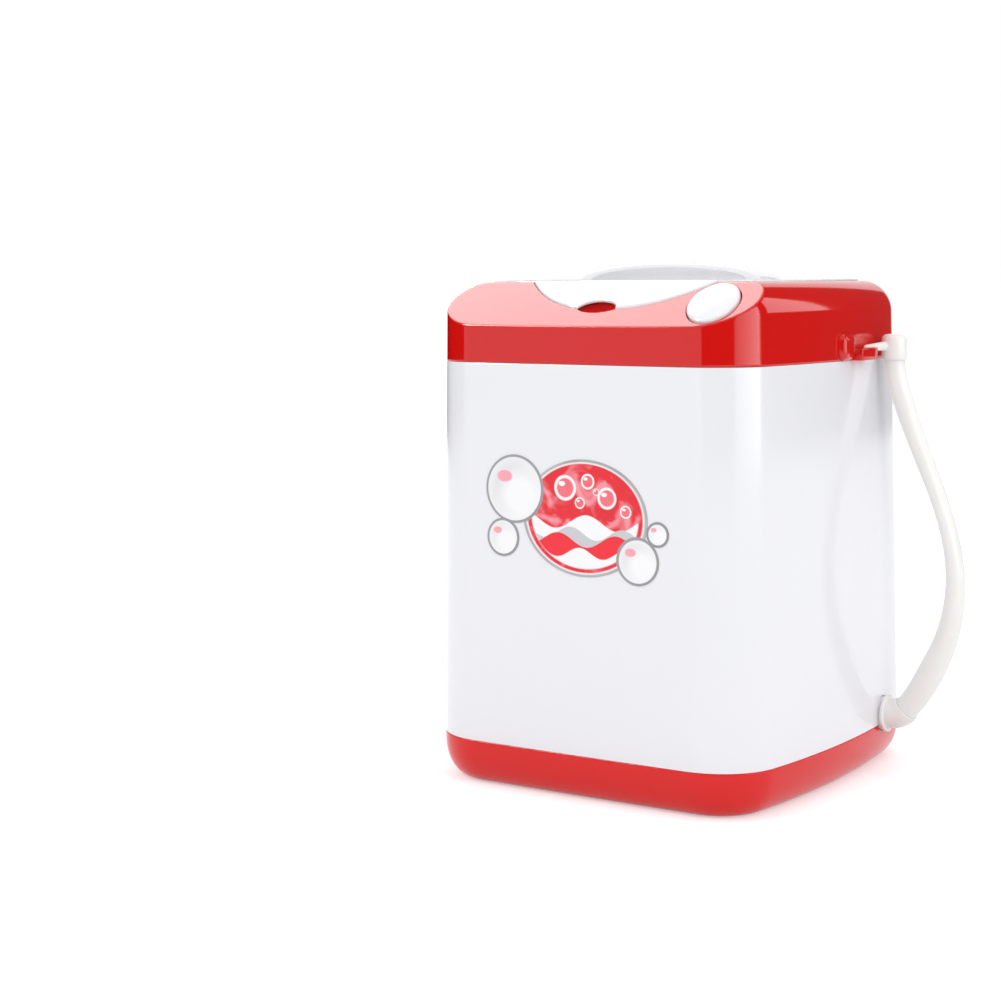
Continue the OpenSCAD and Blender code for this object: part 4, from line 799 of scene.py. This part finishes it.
def label_print():
    """The sticker's printed inks, worked out from its place on the wall."""
    material, tool, place, surface = start_material("label_print")
    spot = tool.add("ShaderNodeSeparateXYZ", None, {"Vector": place})
    across_mm = spot / MM
    up_mm = tool.add("ShaderNodeSeparateXYZ", None, {"Vector": place}, out=2) / MM - LABEL_Z

    def far_from(x, z, rx, rz):
        dx, dz = (across_mm - x) / rx, (up_mm - z) / rz
        return (dx * dx + dz * dz).root()

    def within(value, limit, soft=0.012):
        return tool.add("ShaderNodeMapRange", None, {"Value": value, "From Min": limit + soft, "From Max": limit - soft,
                                                     "To Min": 0.0, "To Max": 1.0})
    silver, silver_light = colour(150, 148, 150), colour(206, 205, 208)
    red_ink, dark_ink, pink_ink = colour(244, 34, 50), colour(222, 22, 38), colour(252, 168, 178)
    white_ink = colour(250, 250, 251)
    cloud = tool.add("ShaderNodeTexNoise", None, {"Vector": place, "Scale": 60.0, "Detail": 2.0})
    oval = far_from(LABEL_X, 0, OVAL_RX, OVAL_RZ)
    ink = cloud.mix(silver, silver_light)
    ink = within(oval, 0.955).mix(ink, white_ink)
    ink = within(oval, 0.93).mix(ink, (0.5 * cloud + 0.3).mix(red_ink, dark_ink))
    swirl = tool.add("ShaderNodeTexNoise", None, {"Vector": place, "Scale": 95.0, "Detail": 2.0, "Distortion": 1.6})
    sheen = tool.add("ShaderNodeMapRange", {"interpolation_type": "SMOOTHSTEP"},
                     {"Value": swirl, "From Min": 0.46, "From Max": 0.72, "To Min": 0.0, "To Max": 0.85})
    ink = (sheen * within(oval, 0.91, 0.03)).mix(ink, pink_ink)
    for crest, high, run, ink_colour, phase in ((-1.5, 2.6, 0.24, white_ink, 0.4), (-5.5, 2.2, 0.29, silver_light, 2.1),
                                                (-8.0, 2.4, 0.26, red_ink, 3.4), (-12.5, 1.8, 0.33, white_ink, 0.9)):
        top = (across_mm * run + phase).sine() * high + crest
        ink = (within(up_mm - top, 0.0, 0.18) * within(oval, 0.86)).mix(ink, ink_colour)
    for x, z, r in ((-4, 10.5, 4.6), (5.5, 13.2, 2.8), (13.5, 7.6, 3.9), (2.2, 5.4, 2.1), (21.2, 3.2, 2.3), (9.0, 9.6, 1.3)):
        ring = far_from(x, z, r, r)
        ink = within(ring, 1.0, 0.05).mix(ink, white_ink)
        ink = within(ring, 0.76, 0.05).mix(ink, (0.4 * cloud + 0.2).mix(red_ink, pink_ink))
        ink = within(far_from(x - 0.3 * r, z + 0.32 * r, 0.3 * r, 0.2 * r), 1.0, 0.1).mix(ink, white_ink)
    for x, z, r in BUBBLES:
        ring = far_from(x, z, r, r)
        ink = within(ring, 1.02, 0.01).mix(ink, silver)
        ink = within(ring, 1 - 0.9 / r, 0.08 / r).mix(ink, white_ink)
        shade = within(far_from(x + 0.22 * r, z - 0.2 * r, 0.86 * r, 0.86 * r), 0.82, 0.3)
        ink = (0.55 * (1 - shade) * within(ring, 1 - 1.7 / r, 0.3)).mix(ink, silver_light)
        ink = within(far_from(x - 0.34 * r, z + 0.36 * r, 0.26 * r, 0.17 * r), 1.0, 0.1).mix(ink, pink_ink)
    scuff = tool.add("ShaderNodeTexNoise", None, {"Vector": place, "Scale": 700.0, "Detail": 3.0})
    bump = tool.add("ShaderNodeBump", None, {"Strength": 0.2, "Distance": 0.00002, "Height": scuff})
    feed(surface, Base_Color=ink, Roughness=0.16 + 0.10 * scuff, Normal=bump, IOR=1.46)
    return material


sticker_print = label_print()
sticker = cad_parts["front_label"]
sticker.data.materials.clear()
sticker.data.materials.append(sticker_print)

# Battery door: a white plate in the back wall with five grip ribs, held by one screw at its top.
door = block("door_plate", (-DOOR_W / 2, door_y - DOOR_T, door_low), (DOOR_W / 2, door_y, door_low + DOOR_H), edge=0)
for corner in door.data.vertices:
    if corner.co.y > (door_y - 0.1) * MM:
        corner.co.y -= DRAFT * (corner.co.z - door_low * MM)
round_edges(door, 0.5, 4)
for k in range(-2, 3):
    groove = rings("grip", oval_loops(1.0, 4.0, 32, [(-0.25, -1.0), (-0.1, -0.55), (0, -0.3), (0.3, 0.02), (0.6, 0.8)]))
    groove.data.transform(Matrix.Translation(Vector((5 * k, door_y - DRAFT * 8, door_low + 8)) * MM)
                          @ Matrix.Rotation(-math.pi / 2, 4, "X"))
    carve(door, groove)
carve(door, rod("screw_room", (0, door_y + 3, door_screw_z), (0, door_y - DOOR_T + 0.8, door_screw_z), SCREW_HEAD_R + 0.3, 48))
carve(door, rod("screw_hole", (0, door_y + 3, door_screw_z), (0, door_y - 9, door_screw_z), SCREW_R + 0.05, 32))
finish_piece(door, white_plastic, "battery_door", "battery_door")

# Metal: zinc-plated steel screws, pins, springs and contacts, and the brass bush and pinion.


def metal(name, main, dark, rough):
    """Plated metal: turned or drawn lines, and duller patches."""
    material, tool, place, surface = start_material(name)
    lines = tool.add("ShaderNodeTexNoise", None, {"Vector": tool.add("ShaderNodeMapping", None, {
        "Vector": place, "Scale": (300.0, 300.0, 4000.0)}), "Scale": 1.0, "Detail": 3.0})
    patch = tool.add("ShaderNodeTexNoise", None, {"Vector": place, "Scale": 220.0, "Detail": 3.0})
    bump = tool.add("ShaderNodeBump", None, {"Strength": 0.3, "Distance": 0.00002, "Height": lines})
    feed(surface, Base_Color=patch.mix(dark, main), Metallic=1.0, Roughness=rough + 0.16 * patch + 0.08 * lines,
         Normal=bump)
    return material


steel = metal("steel", colour(214, 216, 220), colour(176, 179, 185), 0.2)
brass = metal("brass_bush", colour(214, 168, 92), colour(170, 124, 60), 0.24)
copper = metal("copper_winding", colour(204, 112, 66), colour(140, 66, 38), 0.3)


def dress(nodes, material):
    """Gives CAD nodes a finish and smooth shading up to 35 degrees."""
    for name in nodes:
        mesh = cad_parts[name].data
        mesh.materials.clear()
        mesh.materials.append(material)
        mesh.polygons.foreach_set("use_smooth", [True] * len(mesh.polygons))
        mesh.set_sharp_from_angle(angle=math.radians(35))


dress(("tub_screws", "case_screws", "gear_plate_screws", "idler_pin", "motor_can", "motor_screws", "motor_shaft",
       "impeller_shaft", "impeller_screw", "contact_plates", "contact_springs", "door_screw"), steel)
dress(("shaft_bush", "motor_pinion"), brass)
dress(("motor_armature",), copper)

# Button spring: five turns of steel wire round the button's stem, from the switch bracket up to the
# button's hooks.
SPRING_WIRE, SPRING_R, SPRING_TURNS, SPRING_LOW, SPRING_HIGH = 0.35, 3.9, 5, -12.65, -6.15
wound = np.linspace(0, 2 * math.pi * SPRING_TURNS, 32 * SPRING_TURNS + 1)
pitch = (SPRING_HIGH - SPRING_LOW) / wound[-1]
outwards = np.column_stack([np.cos(wound), np.sin(wound), 0 * wound])
forwards = np.column_stack([-SPRING_R * np.sin(wound), SPRING_R * np.cos(wound), 0 * wound + pitch])
forwards /= np.linalg.norm(forwards, axis=1)[:, None]
upwards = np.cross(outwards, forwards)
coil_line = SPRING_R * outwards + np.column_stack([0 * wound, 0 * wound, SPRING_LOW + pitch * wound])
bead = np.linspace(0, 2 * math.pi, 12, endpoint=False)
coil = rings("coil", [centre + SPRING_WIRE * (np.cos(bead)[:, None] * out + np.sin(bead)[:, None] * up)
                      for centre, out, up in zip(coil_line, outwards, upwards)])
coil.data.transform(on_panel(BUTTON_X, BUTTON_S))
finish_piece(coil, steel, "casing", "button_spring", sharp=60)
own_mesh(coil)

# Wash tub and impeller: white and pale blue-grey polypropylene, smooth inside, seen when the lid is up.
tub_plastic = moulded("tub_plastic", colour(236, 237, 240), colour(228, 229, 233), 0.22)
impeller_plastic = moulded("impeller_plastic", colour(214, 222, 232), colour(204, 213, 225), 0.2)
dress(("wash_tub",), tub_plastic)
dress(("impeller",), impeller_plastic)

# Drive and switch: acetal gears and bracket, a grey gear plate, the blue latching switch, the seal,
# the clear drain pipe and the leads.
gear_plastic = moulded("gear_plastic", colour(233, 227, 207), colour(222, 215, 192), 0.3)
grey_plastic = moulded("grey_plastic", colour(142, 145, 150), colour(126, 129, 135), 0.34)
blue_plastic = moulded("blue_plastic", colour(47, 111, 176), colour(36, 92, 152), 0.3)
black_rubber = moulded("black_rubber", colour(38, 39, 43), colour(28, 29, 32), 0.6, ripple=0.00005)
clear_pipe = moulded("clear_pipe", colour(223, 227, 230), colour(208, 213, 218), 0.16)
cell_sleeve = moulded("cell_sleeve", colour(63, 111, 159), colour(48, 90, 134), 0.2)
red_lead = moulded("red_lead", colour(200, 32, 28), colour(176, 24, 22), 0.35)
black_lead = moulded("black_lead", colour(29, 29, 32), colour(20, 20, 22), 0.4)
blue_lead = moulded("blue_lead", colour(36, 88, 168), colour(28, 70, 140), 0.35)
dress(("idler_gear", "output_gear", "motor_end_cap", "switch_bracket"), gear_plastic)
dress(("gear_plate", "switch_plunger"), grey_plastic)
dress(("power_switch",), blue_plastic)
dress(("shaft_seal",), black_rubber)
dress(("drain_pipe",), clear_pipe)
dress(("battery_cells",), cell_sleeve)
dress(("red_wire",), red_lead)
dress(("black_wire",), black_lead)
dress(("blue_wire",), blue_lead)

# Studio: a pale floor, a white surround, three plain soft lamps, and cards that only gloss sees.


def card(name, turn, height, width, tall, bright, dim=1.0, distance=1500):
    """A card round the object, seen only in reflections, that fades to a share dim at its left."""
    made = make_piece(name, [(-width / 2, 0, -tall / 2), (width / 2, 0, -tall / 2), (width / 2, 0, tall / 2),
                             (-width / 2, 0, tall / 2)], [(0, 1, 2, 3)])
    turn, height = math.radians(turn), math.radians(height)
    aim = Vector((math.sin(turn) * math.cos(height), -math.cos(turn) * math.cos(height), math.sin(height)))
    made.matrix_world = (Matrix.Translation(aim * distance * MM + Vector((0, 0, 0.17)))
                         @ Matrix.Rotation(turn, 4, "Z") @ Matrix.Rotation(-height, 4, "X"))
    material, tool, place, surface = start_material(name)
    across = tool.add("ShaderNodeSeparateXYZ", None, {"Vector": place})
    share = tool.add("ShaderNodeMapRange", None, {"Value": across, "From Min": -width / 2 * MM,
                                                  "From Max": width / 2 * MM, "To Min": 0.0, "To Max": 1.0})
    feed(surface, Base_Color=(0, 0, 0, 1), Specular_IOR_Level=0.0, Emission_Strength=bright,
         Emission_Color=share.mix((dim, dim, dim, 1), (1, 1, 1, 1)))
    made.data.materials.append(material)
    made.visible_camera = made.visible_diffuse = made.visible_shadow = made.visible_transmission = False


card("flag_corner", 32, 8, 1595, 800, 0.04)
card("flag_side", 146, 20, 2100, 1560, 0.08)
card("flag_left", -104, 6, 3300, 700, 0.0)
card("soft_box_side", 85.5, 10, 1335, 900, 4.4, 0.35)
card("soft_box_wedge", 140, 20, 480, 700, 2.3, distance=1400)
card("soft_box_back", -128, 44, 900, 800, 4.2, distance=1300)
card("strip_crease", -50, 30, 520, 760, 24)


def lamp(name, place, size, power):
    """A square soft lamp aimed at the middle of the object."""
    light = bpy.data.lights.new(name, "AREA")
    light.size, light.energy = size, power
    made = bpy.data.objects.new(name, light)
    towards = Vector((0, 0, 0.09)) - Vector(place)
    made.matrix_world = Matrix.Translation(place) @ towards.to_track_quat("-Z", "Y").to_matrix().to_4x4()
    bpy.context.scene.collection.objects.link(made)
    made.visible_glossy = False


lamp("key", (-0.9, -1.1, 1.1), 0.9, 5)
lamp("fill", (1.3, -0.5, 0.7), 0.8, 4)
lamp("top", (0.1, 0.3, 1.4), 1.0, 3)


def seen_directly(tool):
    """1 for rays from the eye, from gloss and through glass, and 0 for the rays that light things."""
    return (tool.add("ShaderNodeLightPath") + tool.add("ShaderNodeLightPath", out=3)
            + tool.add("ShaderNodeLightPath", out=6)).limit()


AMBIENT = 0.8
world = bpy.data.worlds.new("surround")
bpy.context.scene.world = world
world.use_nodes = True
back = world.node_tree.nodes["Background"]
back.inputs["Color"].default_value = (1, 1, 1, 1)
feed(back, Strength=AMBIENT + (1 - AMBIENT) * seen_directly(Shade(world.node_tree)))

floor = make_piece("floor", [(-20000, -20000, 0), (20000, -20000, 0), (20000, 20000, 0), (-20000, 20000, 0)], [(0, 1, 2, 3)])
floor.location.z = -0.0001
paper, tool, place, surface = start_material("paper")
feed(surface, Base_Color=colour(236, 237, 240), Roughness=0.9, Specular_IOR_Level=0.0, Emission_Color=(1, 1, 1, 1),
     Emission_Strength=0.42 * seen_directly(tool))
floor.data.materials.append(paper)
